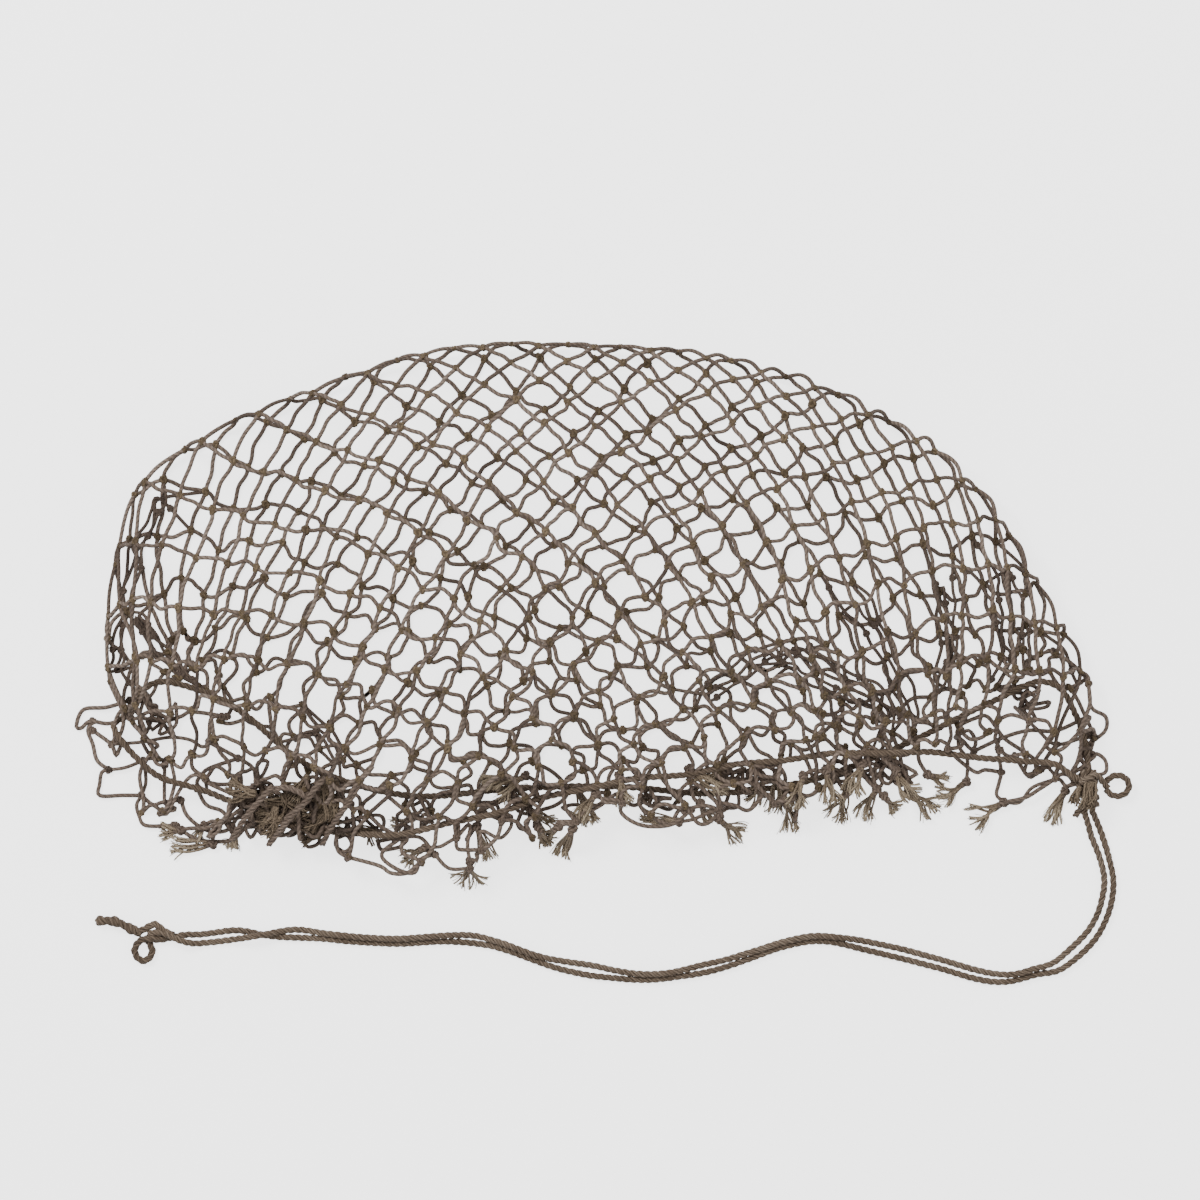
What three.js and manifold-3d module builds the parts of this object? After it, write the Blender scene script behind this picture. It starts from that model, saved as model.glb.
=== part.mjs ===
// A helmet net: a knotted twine bag lying on its side on a flat surface, mouth towards -Y, crown towards +Y.
// Millimetres, +Z up. The origin is at the bottom centre of the net, with its free cord left out.
// The upper layer puffs up, the lower one lies flat, and a drawcord is threaded round the mouth.
// The real meshes are finer: this net is cut at about one and a half times their pitch.
import * as THREE from 'three';
import { mergeVertices } from 'three/addons/utils/BufferGeometryUtils.js';
import Module from 'manifold-3d';

const wasm = await Module();
wasm.setup();

// Driving sizes
const ROPE = 3.1;
const SHEET = 2.0;
const STRUT = 2.6;
const CLEARANCE = 0.3;
const MESHES = 13;
const ROWS = 22;
const HEM_ROWS = 2;
const SMALLEST_GAP = 4;
const FOLD_HEIGHT = 8;
const FAR_RIM_LIFT = 5.3;
const CREST = 0.55;
const KNOT_JITTER = 0.1;

// The form, in sections from the left end of the mouth (u = 0) to its right end (u = 1).
// near, crown and far are plan points on the upper rim, the silhouette and the lower rim.
// top and rim are heights, and the hems reach past the rims by nearHem and farHem.
const COLUMNS = [
  'u', 'nearX', 'nearY', 'crownX', 'crownY', 'farX', 'farY', 'top', 'rim', 'nearHem', 'nearHemZ', 'farHem',
];
const SECTIONS = [
  [0.00, -203, -48, -207, -37, -200, -31, 9, 7, 26, 1.2, 5],
  [0.04, -191, -62, -214, -22, -187, -28, 20, 7, 24, 1.2, 7],
  [0.10, -172, -74, -208, 24, -160, -38, 30, 7, 20, 1.2, 11],
  [0.20, -131, -90, -179, 72, -125, -65, 42, 12, 14, 6, 12],
  [0.30, -89, -93, -125, 98, -83, -77, 51, 18, 15, 14, 11],
  [0.40, -47, -84, -68, 115, -39, -74, 57, 19, 16, 15, 12],
  [0.50, -6, -73, -8, 117, 5, -73, 60, 19, 15, 15, 12],
  [0.60, 36, -67, 52, 111, 48, -76, 58, 19, 17, 15, 11],
  [0.70, 78, -61, 109, 92, 91, -70, 52, 18, 20, 14, 11],
  [0.80, 120, -58, 158, 58, 132, -54, 43, 16, 17, 10, 10],
  [0.90, 163, -60, 192, 5, 171, -35, 31, 11, 13, 3, 9],
  [0.96, 189, -62, 210, -31, 192, -28, 18, 8, 10, 1.2, 6],
  [1.00, 205, -65, 212, -52, 207, -41, 9, 8, 7, 1.2, 4],
];

// Free tails, from the mouth knot to the knot at their far end. Both lie on the surface.
const TAIL_INNER = [
  [207.7, -84.05, 4.4], [209.6, -90, 2.3], [211, -95, 1.55], [214.4, -103.6, 1.55], [216.5, -113, 1.55], [215.6, -121.3, 1.55],
  [213, -129.4, 1.55], [208, -137.2, 1.55], [199, -145.3, 1.55], [189.4, -150.4, 1.55], [176, -153.3, 1.55],
  [160, -151.8, 1.55], [143.4, -147.4, 1.55], [127.5, -142.2, 1.55], [108, -138.4, 1.55], [92, -136.6, 1.55],
  [79, -138.8, 1.55], [62.6, -143, 1.55], [46, -148.4, 1.55], [30, -152.6, 1.55], [9, -153, 1.55],
  [-4, -150.6, 1.55], [-14, -149, 1.55], [-26, -146, 1.55], [-36, -142.7, 1.55], [-46.7, -138.2, 1.55],
  [-54, -136, 1.55], [-63, -135.8, 1.55], [-77.6, -136.9, 1.55], [-92.7, -138, 1.55], [-107, -137, 1.55],
  [-123.6, -135.2, 1.55], [-132.7, -134.6, 1.55], [-139, -135.2, 2.4], [-144, -136.3, 4.9],
  [-149, -137.6, 5.2], [-154, -139.2, 4.9], [-159, -140.4, 2.4], [-164, -141, 1.55], [-171, -141.2, 1.55],
  [-176, -141, 2.4], [-181, -139.6, 4.9], [-186, -137.6, 5.2], [-190, -136, 5.0], [-196.1, -136.3, 4.5],
];
const TAIL_OUTER = [
  [211.3, -84.05, 4.4], [213.9, -90, 2.3], [215.8, -95, 1.55], [218.4, -103.6, 1.55], [220.4, -113.5, 1.55], [219.7, -122.6, 1.55],
  [217, -131.2, 1.55], [212, -139.8, 1.55], [203, -148.4, 1.55], [192, -154.4, 1.55], [176, -158.2, 1.55],
  [159.7, -156.5, 1.55], [143.4, -151.8, 1.55], [127.5, -146.6, 1.55], [111, -143.2, 1.55],
  [92.7, -141, 1.55], [79, -143, 1.55], [62.6, -147.3, 1.55], [46, -152.8, 1.55], [28.6, -157, 1.55],
  [14, -157.8, 1.55], [-1, -156.1, 1.55], [-11.4, -153.9, 1.55], [-26, -150.1, 1.55], [-40.6, -145.8, 1.55],
  [-51, -141.9, 1.55], [-63, -140.4, 1.55], [-76.3, -141.2, 1.55], [-92.7, -142.2, 1.55],
  [-110, -141.2, 1.55], [-122, -139.6, 1.55], [-134, -139.2, 1.55], [-139, -139.2, 1.55],
  [-144, -138.6, 1.55], [-149, -137.2, 1.55], [-154, -135.7, 1.55], [-159, -135, 1.55],
  [-167, -135.6, 1.55], [-174, -136.3, 1.55], [-180, -136.9, 1.55], [-186, -138.3, 1.55],
  [-191, -139.3, 1.55], [-196.2, -138.9, 1.75],
];

// Frayed cut ends tied to the near hem: the mesh each hangs from, its lean and its size.
const TUFT_COLUMNS = ['mesh', 'lean', 'length', 'strands'];
const TUFTS = [
  [1, -25, 9, 5],
  [2, -10, 8, 5],
  [3, 15, 7, 5],
  [4, -5, 10, 6],
  [5, -8, 15, 8],
  [6, 10, 9, 6],
  [7, -5, 9.6, 5],
  [8, 20, 11, 6],
  [9, 5, 10, 6],
  [10, -12, 10, 6],
  [11, 8, 12, 7],
  [12, -30, 15, 8],
];

const twineColour = { color: 0x75675a, roughness: 0.95, metalness: 0 };
const ropeColour = { color: 0x6a5d50, roughness: 0.93, metalness: 0 };
const frayColour = { color: 0x8a7c62, roughness: 0.97, metalness: 0 };

// Tables and small helpers

function column(row, names, name) {
  return row[names.indexOf(name)];
}

// A smooth value between the sections, by cubic pieces with centred slopes
function section(u, name) {
  const at = SECTIONS.map((row) => row[0]);
  const value = SECTIONS.map((row) => column(row, COLUMNS, name));
  const last = at.length - 1;
  let k = 0;
  while (k < last - 1 && u > at[k + 1]) k += 1;
  const slope = (i) => {
    const a = Math.max(i - 1, 0);
    const b = Math.min(i + 1, last);
    return (value[b] - value[a]) / (at[b] - at[a]);
  };
  const span = at[k + 1] - at[k];
  const t = (u - at[k]) / span;
  const start = value[k] * (2 * t ** 3 - 3 * t ** 2 + 1) + value[k + 1] * (3 * t ** 2 - 2 * t ** 3);
  return start + span * (slope(k) * (t ** 3 - 2 * t ** 2 + t) + slope(k + 1) * (t ** 3 - t ** 2));
}

function planPoint(u, name) {
  return new THREE.Vector2(section(u, `${name}X`), section(u, `${name}Y`));
}

// The way out of the bag at a rim, level and square to the rim
function outward(u, name) {
  const step = 0.01;
  const along = planPoint(Math.min(u + step, 1), name).sub(planPoint(Math.max(u - step, 0), name));
  return new THREE.Vector2(along.y, -along.x).normalize();
}

function smooth(t) {
  const s = Math.min(Math.max(t, 0), 1);
  return s * s * (3 - 2 * s);
}

// Height of the upper layer over the plan fraction p from its rim to the silhouette
function upperHeight(u, p) {
  const top = section(u, 'top');
  const rim = section(u, 'rim');
  const fold = Math.min(FOLD_HEIGHT, 0.5 * top);
  if (p < CREST) return rim + (top - rim) * Math.sin((0.5 * Math.PI * p) / CREST);
  return fold + (top - fold) * Math.sqrt(Math.max(0, 1 - ((p - CREST) / (1 - CREST)) ** 2));
}

// Height of the lower layer over the plan fraction p from the silhouette to its rim
function lowerHeight(u, p, width) {
  const floor = 0.5 * SHEET;
  const fold = Math.min(FOLD_HEIGHT, 0.5 * section(u, 'top')) - floor;
  const inside = Math.min(p * width, fold);
  const round = fold - Math.sqrt(Math.max(0, fold ** 2 - (fold - inside) ** 2));
  return floor + round + (FAR_RIM_LIFT - floor) * smooth((p - 0.86) / 0.14);
}

// The plan fraction at a share t of the way over the surface, measured along it
function planFraction(t, width, height) {
  const samples = 48;
  const fraction = (k) => 1 - (1 - k / samples) ** 2;
  const reach = [0];
  for (let k = 1; k <= samples; k += 1) {
    const dp = (fraction(k) - fraction(k - 1)) * width;
    const dz = height(fraction(k)) - height(fraction(k - 1));
    reach.push(reach[k - 1] + Math.hypot(dp, dz));
  }
  const wanted = t * reach[samples];
  let k = 1;
  while (k < samples && reach[k] < wanted) k += 1;
  const share = (wanted - reach[k - 1]) / (reach[k] - reach[k - 1]);
  return fraction(k - 1) + share * (fraction(k) - fraction(k - 1));
}

// A point of the net's mid surface: u along the mouth, row from the near rim over the crown
function surface(u, row) {
  const near = planPoint(u, 'near');
  const crown = planPoint(u, 'crown');
  const far = planPoint(u, 'far');
  if (row < 0) {
    const share = -row / HEM_ROWS;
    const hem = near.addScaledVector(outward(u, 'near'), section(u, 'nearHem') * share);
    const rim = section(u, 'rim');
    const z = rim + (section(u, 'nearHemZ') - rim) * share ** 2;
    return new THREE.Vector3(hem.x, hem.y, z);
  }
  if (row > ROWS) {
    const share = (row - ROWS) / HEM_ROWS;
    const hem = far.addScaledVector(outward(u, 'far'), section(u, 'farHem') * share);
    const floor = 0.5 * SHEET;
    return new THREE.Vector3(hem.x, hem.y, floor + (FAR_RIM_LIFT - floor) * (1 - share ** 2));
  }
  const half = 0.5 * ROWS;
  if (row <= half) {
    const width = near.distanceTo(crown);
    const height = (q) => upperHeight(u, q);
    const p = planFraction(row / half, width, height);
    const plan = near.lerp(crown, p);
    return new THREE.Vector3(plan.x, plan.y, height(p));
  }
  const width = crown.distanceTo(far);
  const p = (row - half) / half;
  const plan = crown.lerp(far, p);
  return new THREE.Vector3(plan.x, plan.y, lowerHeight(u, p, width));
}

function surfaceNormal(u, row) {
  const du = 0.004;
  const dr = 0.12;
  const lowRow = Math.max(row - dr, -HEM_ROWS);
  const highRow = Math.min(row + dr, ROWS + HEM_ROWS);
  const along = surface(Math.min(u + du, 1), row).sub(surface(Math.max(u - du, 0), row));
  const across = surface(u, highRow).sub(surface(u, lowRow));
  return along.cross(across).normalize();
}

// A repeatable scatter in -1 to 1, so that no two meshes are quite alike
function scatter(a, b) {
  const wave = Math.sin(a * 12.9898 + b * 78.233) * 43758.5453;
  return 2 * (wave - Math.floor(wave)) - 1;
}

// The net: one sheet cut into diamond meshes

function buildNet() {
  const vertices = [];
  const faces = [];
  const knots = new Map();

  const addVertex = (point, normal) => {
    vertices.push({ point, normal });
    return vertices.length - 1;
  };

  const knot = (x, row) => {
    const key = `${x},${row}`;
    if (!knots.has(key)) {
      const inside = x > 0 && x < MESHES && row > -HEM_ROWS && row < ROWS + HEM_ROWS && row !== 0 && row !== ROWS;
      const amount = inside ? KNOT_JITTER : 0;
      const u = (x + amount * scatter(x, row)) / MESHES;
      const r = row + amount * 1.5 * scatter(row, x + 7);
      knots.set(key, addVertex(surface(u, r), surfaceNormal(u, r)));
    }
    return knots.get(key);
  };

  const cutCell = (corners) => {
    const centre = new THREE.Vector3();
    const normal = new THREE.Vector3();
    for (const c of corners) {
      centre.addScaledVector(vertices[c].point, 1 / corners.length);
      normal.addScaledVector(vertices[c].normal, 1 / corners.length);
    }
    normal.normalize();
    const reach = corners.map((c, k) => {
      const start = vertices[c].point;
      const bar = vertices[corners[(k + 1) % corners.length]].point.clone().sub(start);
      return centre.clone().sub(start).cross(bar).length() / bar.length();
    });
    const apothem = Math.min(...reach);
    const inset = (0.5 * STRUT) / apothem;
    if (2 * apothem * (1 - inset) < SMALLEST_GAP) return false;
    const hole = corners.map((c) => {
      const corner = vertices[c];
      const point = corner.point.clone().lerp(centre, inset);
      return addVertex(point, corner.normal.clone().lerp(normal, inset).normalize());
    });
    corners.forEach((corner, k) => {
      const next = (k + 1) % corners.length;
      faces.push([corner, corners[next], hole[next]], [corner, hole[next], hole[k]]);
    });
    return true;
  };

  let cuts = 0;
  for (let row = -HEM_ROWS + 1; row < ROWS + HEM_ROWS; row += 1) {
    const offset = Math.abs(row) % 2 === 1 ? 0 : 0.5;
    for (let x = offset; x <= MESHES; x += 1) {
      const corners = [knot(x, row - 1)];
      if (x < MESHES) corners.push(knot(x + 0.5, row));
      corners.push(knot(x, row + 1));
      if (x > 0) corners.push(knot(x - 0.5, row));
      if (cutCell(corners)) {
        cuts += 1;
      } else {
        for (let k = 1; k < corners.length - 1; k += 1) {
          faces.push([corners[0], corners[k], corners[k + 1]]);
        }
      }
    }
  }
  if (cuts > 300) throw new Error(`the net has ${cuts} gaps`);
  return thicken(vertices, faces, SHEET);
}

// Gives a sheet of triangles its thickness, with a wall along every open edge
function thicken(vertices, faces, thickness) {
  const count = vertices.length;
  const position = [];
  for (const side of [0.5, -0.5]) {
    for (const v of vertices) {
      const p = v.point.clone().addScaledVector(v.normal, side * thickness);
      position.push(p.x, p.y, p.z);
    }
  }
  const used = new Set();
  for (const face of faces) {
    for (let k = 0; k < 3; k += 1) used.add(face[k] * count + face[(k + 1) % 3]);
  }
  const index = [];
  for (const face of faces) {
    const [a, b, c] = face;
    index.push(a, b, c, a + count, c + count, b + count);
    for (let k = 0; k < 3; k += 1) {
      const p = face[k];
      const q = face[(k + 1) % 3];
      if (!used.has(q * count + p)) index.push(q, p, p + count, q, p + count, q + count);
    }
  }
  const geometry = new THREE.BufferGeometry();
  geometry.setAttribute('position', new THREE.Float32BufferAttribute(position, 3));
  geometry.setIndex(index);
  return geometry;
}

// Tubes and joins

function tube(points, radius, steps, sides = 8) {
  const path = new THREE.CatmullRomCurve3(points, false, 'centripetal');
  const ring = [];
  for (let k = 0; k < sides; k += 1) {
    const angle = (2 * Math.PI * (k + 0.5)) / sides;
    ring.push(new THREE.Vector2(radius * Math.cos(angle), radius * Math.sin(angle)));
  }
  return new THREE.ExtrudeGeometry(new THREE.Shape(ring), { steps, extrudePath: path, bevelEnabled: false });
}

function solid(geometry) {
  const bare = geometry.clone();
  bare.deleteAttribute('normal');
  bare.deleteAttribute('uv');
  const merged = mergeVertices(bare, 1e-4);
  const mesh = new wasm.Mesh({
    numProp: 3,
    vertProperties: new Float32Array(merged.attributes.position.array),
    triVerts: new Uint32Array(merged.index.array),
  });
  return new wasm.Manifold(mesh);
}

function joined(geometries) {
  let whole = solid(geometries[0]);
  for (const piece of geometries.slice(1)) whole = whole.add(solid(piece));
  const mesh = whole.getMesh();
  const geometry = new THREE.BufferGeometry();
  geometry.setAttribute('position', new THREE.Float32BufferAttribute(mesh.vertProperties, 3));
  geometry.setIndex(Array.from(mesh.triVerts));
  return geometry;
}

function points3(rows) {
  return rows.map(([x, y, z]) => new THREE.Vector3(x, y, z));
}

// The drawcord: over one knot of the rim and under the next, right round the mouth

function woven(x, row) {
  const swing = 0.5 * SHEET + CLEARANCE + 0.5 * ROPE + 0.75 + 1.3 * smooth(Math.abs(x / MESHES - 0.5) * 10 - 3.6);
  const inside = Math.min(Math.max(x, row === 0 ? 1 : 3), MESHES - 2);
  const wave = Math.min(Math.max(1.7 * Math.cos(Math.PI * (inside - 1)), -1), 1);
  const before = Math.min(Math.floor(x), MESHES - 1);
  const up = row === 0 ? 1 : -1;
  const normal = surfaceNormal(x / MESHES, row).multiplyScalar(up);
  const point = surface(before / MESHES, row).lerp(surface((before + 1) / MESHES, row), x - before);
  point.addScaledVector(normal, swing * wave);
  point.z = Math.max(point.z, 0.5 * ROPE + 0.2);
  return point;
}

function buildDrawcord() {
  const route = points3([[209.4, -67.9, 5.2], [208.9, -59, 4.4], [207.3, -51, 4.6], [204.4, -43.5, 6.6]]);
  for (let x = MESHES - 0.5; x >= 0.25; x -= 0.25) route.push(woven(x, ROWS));
  route.push(...points3([[-200, -33.5, 6.2], [-202.5, -38.5, 4.5], [-206.5, -43, 4.3]]));
  route.push(...points3([[-210.5, -46.5, 7], [-207.5, -52.5, 10.4], [-200, -61, 11.2], [-190, -69, 11.6]]));
  for (let x = 1; x <= MESHES - 0.25; x += 0.25) route.push(woven(x, 0));
  route.push(...points3([[204.6, -70.4, 8.6]]));
  return tube(route, 0.5 * ROPE, 120);
}

// The bound knot at the right end of the mouth, with its small loop and its stub

function buildMouthKnot() {
  const heart = new THREE.CapsuleGeometry(3.7, 8, 4, 10).translate(209.5, -76, 5.4);
  const wraps = [-4.5, -0.5, 3.5].map((y) => {
    const ring = new THREE.TorusGeometry(3.9, 1.5, 6, 12).rotateX(0.5 * Math.PI);
    return ring.translate(209.5, -76 + y, 5.4);
  });
  const bight = new THREE.TorusGeometry(4.7, 1.45, 7, 16).translate(219.9, -73, 3.4);
  const stub = tube(points3([[206, -77, 4], [204.2, -81, 3], [203.6, -85.5, 1.6]]), 1.45, 4);
  return joined([heart, ...wraps, bight, stub]);
}

// The knot at the tails' far end, with its small loop and the twisted stub

function buildTailKnot() {
  const heart = new THREE.SphereGeometry(3.9, 10, 7).translate(-200.3, -137.6, 3.9);
  const bight = new THREE.TorusGeometry(3.0, 1.35, 7, 14).translate(-198.8, -144.7, 2.2);
  const stub = tube(points3([[-202, -136.5, 3.4], [-208, -132.5, 2.4], [-213, -130.4, 2], [-218, -131, 2]]), 1.9, 8);
  return joined([heart, bight, stub]);
}

// The loose tangle of doubled twine lying over the drawcord, left of the middle

function buildTangle() {
  const strands = [
    [[-158, -95, 13.5], [-149, -83.5, 18], [-143, -77, 21], [-136, -75.5, 22], [-128, -79, 21.5]],
    [[-144, -98, 14.5], [-139, -91.5, 17.5], [-131, -84, 21], [-124, -79, 22.5], [-118, -71, 26]],
    [[-141, -82, 20], [-134, -88, 19], [-125, -88.5, 20], [-120.5, -82, 22.5], [-127, -77, 23.2]],
  ];
  return joined(strands.map((strand) => tube(points3(strand), 1.7, 9)));
}

// Frayed cut ends: a tied head and strands that fan out and lie on the surface

function buildTuft(row) {
  const value = (name) => column(row, TUFT_COLUMNS, name);
  const u = value('mesh') / MESHES;
  const edge = surface(u, -HEM_ROWS);
  const way = outward(u, 'near').rotateAround(new THREE.Vector2(), THREE.MathUtils.degToRad(value('lean')));
  const headRadius = 2.2;
  const seat = outward(u, 'near').multiplyScalar(headRadius + CLEARANCE + 0.15);
  const head = new THREE.Vector3(edge.x + seat.x, edge.y + seat.y, Math.max(headRadius, edge.z - 0.8));
  const pieces = [new THREE.IcosahedronGeometry(headRadius, 0).translate(head.x, head.y, head.z)];
  const strands = value('strands');
  const spread = THREE.MathUtils.degToRad(74);
  for (let k = 0; k < strands; k += 1) {
    const angle = spread * (k / (strands - 1) - 0.5);
    const ray = way.clone().rotateAround(new THREE.Vector2(), angle);
    const length = value('length') * (1 - 0.12 * ((k * 3) % 4));
    const along = (share, z) => new THREE.Vector3(
      head.x + ray.x * length * share,
      head.y + ray.y * length * share,
      z,
    );
    pieces.push(tube([along(0.05, head.z), along(0.5, 0.9), along(1, 0.85)], 0.8, 2, 3));
  }
  return joined(pieces);
}

// The whole object

const group = new THREE.Group();

function addPart(name, geometry, look) {
  const mesh = new THREE.Mesh(geometry, new THREE.MeshStandardMaterial(look));
  mesh.name = name;
  group.add(mesh);
}

addPart('net', buildNet(), twineColour);
addPart('drawcord', buildDrawcord(), ropeColour);
addPart('mouth_knot', buildMouthKnot(), ropeColour);
addPart('hem_tangle', buildTangle(), twineColour);
addPart('tail_inner', tube(points3(TAIL_INNER), 0.5 * ROPE, 72), ropeColour);
addPart('tail_outer', tube(points3(TAIL_OUTER), 0.5 * ROPE, 72), ropeColour);
addPart('tail_knot', buildTailKnot(), ropeColour);
TUFTS.forEach((row, k) => addPart(`frayed_end_${k + 1}`, buildTuft(row), frayColour));

export default group;
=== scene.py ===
# %% [markdown]
# # A helmet net, lying flat
#
# The object is a bag of knotted cotton twine. It was pulled over a helmet and drawn tight
# with a cord round its mouth. Here it lies on its side, and is seen from straight above.
# Every bar of every mesh, every knot and every frayed end is modelled as thin bent rope,
# because at this size the shape of the twine is the whole look of the thing.
#
# The hidden frame from the CAD stage is loaded first. It gives the space to stay within.
# All sizes in this script are in millimetres unless a comment says otherwise, with x to the
# right, y up the picture and z up from the table. MM turns them into Blender's metres.

import math

import bpy
import numpy as np
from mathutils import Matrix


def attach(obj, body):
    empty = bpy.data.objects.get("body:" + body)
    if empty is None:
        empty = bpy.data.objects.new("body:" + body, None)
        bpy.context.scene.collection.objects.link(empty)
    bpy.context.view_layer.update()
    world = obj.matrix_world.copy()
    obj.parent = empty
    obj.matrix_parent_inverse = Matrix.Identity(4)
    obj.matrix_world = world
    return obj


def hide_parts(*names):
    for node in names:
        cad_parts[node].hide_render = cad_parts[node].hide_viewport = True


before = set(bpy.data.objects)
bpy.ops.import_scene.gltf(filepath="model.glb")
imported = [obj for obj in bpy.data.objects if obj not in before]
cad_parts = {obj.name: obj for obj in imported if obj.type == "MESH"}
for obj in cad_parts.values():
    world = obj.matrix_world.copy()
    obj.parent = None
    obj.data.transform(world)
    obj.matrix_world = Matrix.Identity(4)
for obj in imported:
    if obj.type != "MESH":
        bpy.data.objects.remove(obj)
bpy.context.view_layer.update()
MM = 0.001
chance = np.random.default_rng(1943)

# %% [markdown]
# ## The camera
#
# The net was photographed on a table by a camera that looks straight down. A long lens from
# three metres up keeps the near and far parts of the net almost the same size, as in the
# picture. The frame is 516 mm wide, which comes from the thickness of the cord and twine.

# %% Camera
FRAME_WIDTH = 516.0
CAMERA_HEIGHT = 3000.0
SENSOR = 36.0
VIEW_CENTRE = (-1.1, 7.3)
BED_HEIGHT = 12.0
FAR_CLIP_METRES = 20.0

lens = bpy.data.cameras.new("camera")
lens.sensor_width = SENSOR
lens.lens = SENSOR * CAMERA_HEIGHT / FRAME_WIDTH
lens.clip_end = FAR_CLIP_METRES
camera = bpy.data.objects.new("camera", lens)
camera.location = (VIEW_CENTRE[0] * MM, VIEW_CENTRE[1] * MM, (CAMERA_HEIGHT + BED_HEIGHT) * MM)
bpy.context.scene.collection.objects.link(camera)
bpy.context.scene.camera = camera
print("lens, mm:", round(lens.lens, 1))

# %% [markdown]
# ## Thin round things
#
# Twine, cord and loose fibres are all the same problem: a round section that runs along a
# bent line. A curve object with a bevel could do it, but thousands of curves are slow and
# carry no pattern along their length. So one function makes many tubes at once, from arrays
# of points. It also writes how far along and how far round each corner lies, in a UV layer,
# and a tone for each tube, so that the material can twist the yarn and vary its colour.

# %% Arrays of points
CURVE_STEPS = 12


def unit(vectors):
    """Vectors of length one, along the last axis."""
    return vectors / np.maximum(np.linalg.norm(vectors, axis=-1, keepdims=True), 1e-9)


def ease(t):
    """A soft step: 0 up to t = 0, 1 from t = 1, and a smooth way between."""
    s = np.clip(t, 0, 1)
    return s * s * (3 - 2 * s)


def crosswise(paths):
    """Two directions square to each path, carried along it without spin."""
    ahead = unit(np.gradient(paths, axis=1))
    start = np.zeros_like(ahead[:, 0])
    start[np.arange(len(paths)), np.argmin(np.abs(ahead[:, 0]), axis=1)] = 1.0
    side = [unit(np.cross(ahead[:, 0], start))]
    for k in range(1, paths.shape[1]):
        last = side[-1]
        side.append(unit(last - ahead[:, k] * np.sum(last * ahead[:, k], axis=1, keepdims=True)))
    side = np.stack(side, axis=1)
    return side, np.cross(ahead, side)


def distance_along(paths):
    """How far along its path each point lies."""
    steps = np.linalg.norm(np.diff(paths, axis=1), axis=2)
    return np.concatenate([np.zeros((len(paths), 1)), np.cumsum(steps, axis=1)], axis=1)


def smooth_line(points, spacing):
    """A smooth line through the given points, with its own points evenly spaced."""
    p = np.asarray(points, float)
    p = np.vstack([2 * p[0] - p[1], p, 2 * p[-1] - p[-2]])
    t = np.linspace(0, 1, CURVE_STEPS, endpoint=False)[:, None]
    dense = []
    for a, b, c, d in zip(p[:-3], p[1:-2], p[2:-1], p[3:]):
        square, cube = 2 * a - 5 * b + 4 * c - d, 3 * b - a - 3 * c + d
        dense.append(0.5 * (2 * b + (c - a) * t + square * t**2 + cube * t**3))
    dense = np.vstack([*dense, p[-2:-1]])
    reach = distance_along(dense[None])[0]
    wanted = np.linspace(0, reach[-1], max(3, int(round(reach[-1] / spacing)) + 1))
    return np.stack([np.interp(wanted, reach, dense[:, k]) for k in range(3)], axis=1)


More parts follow.
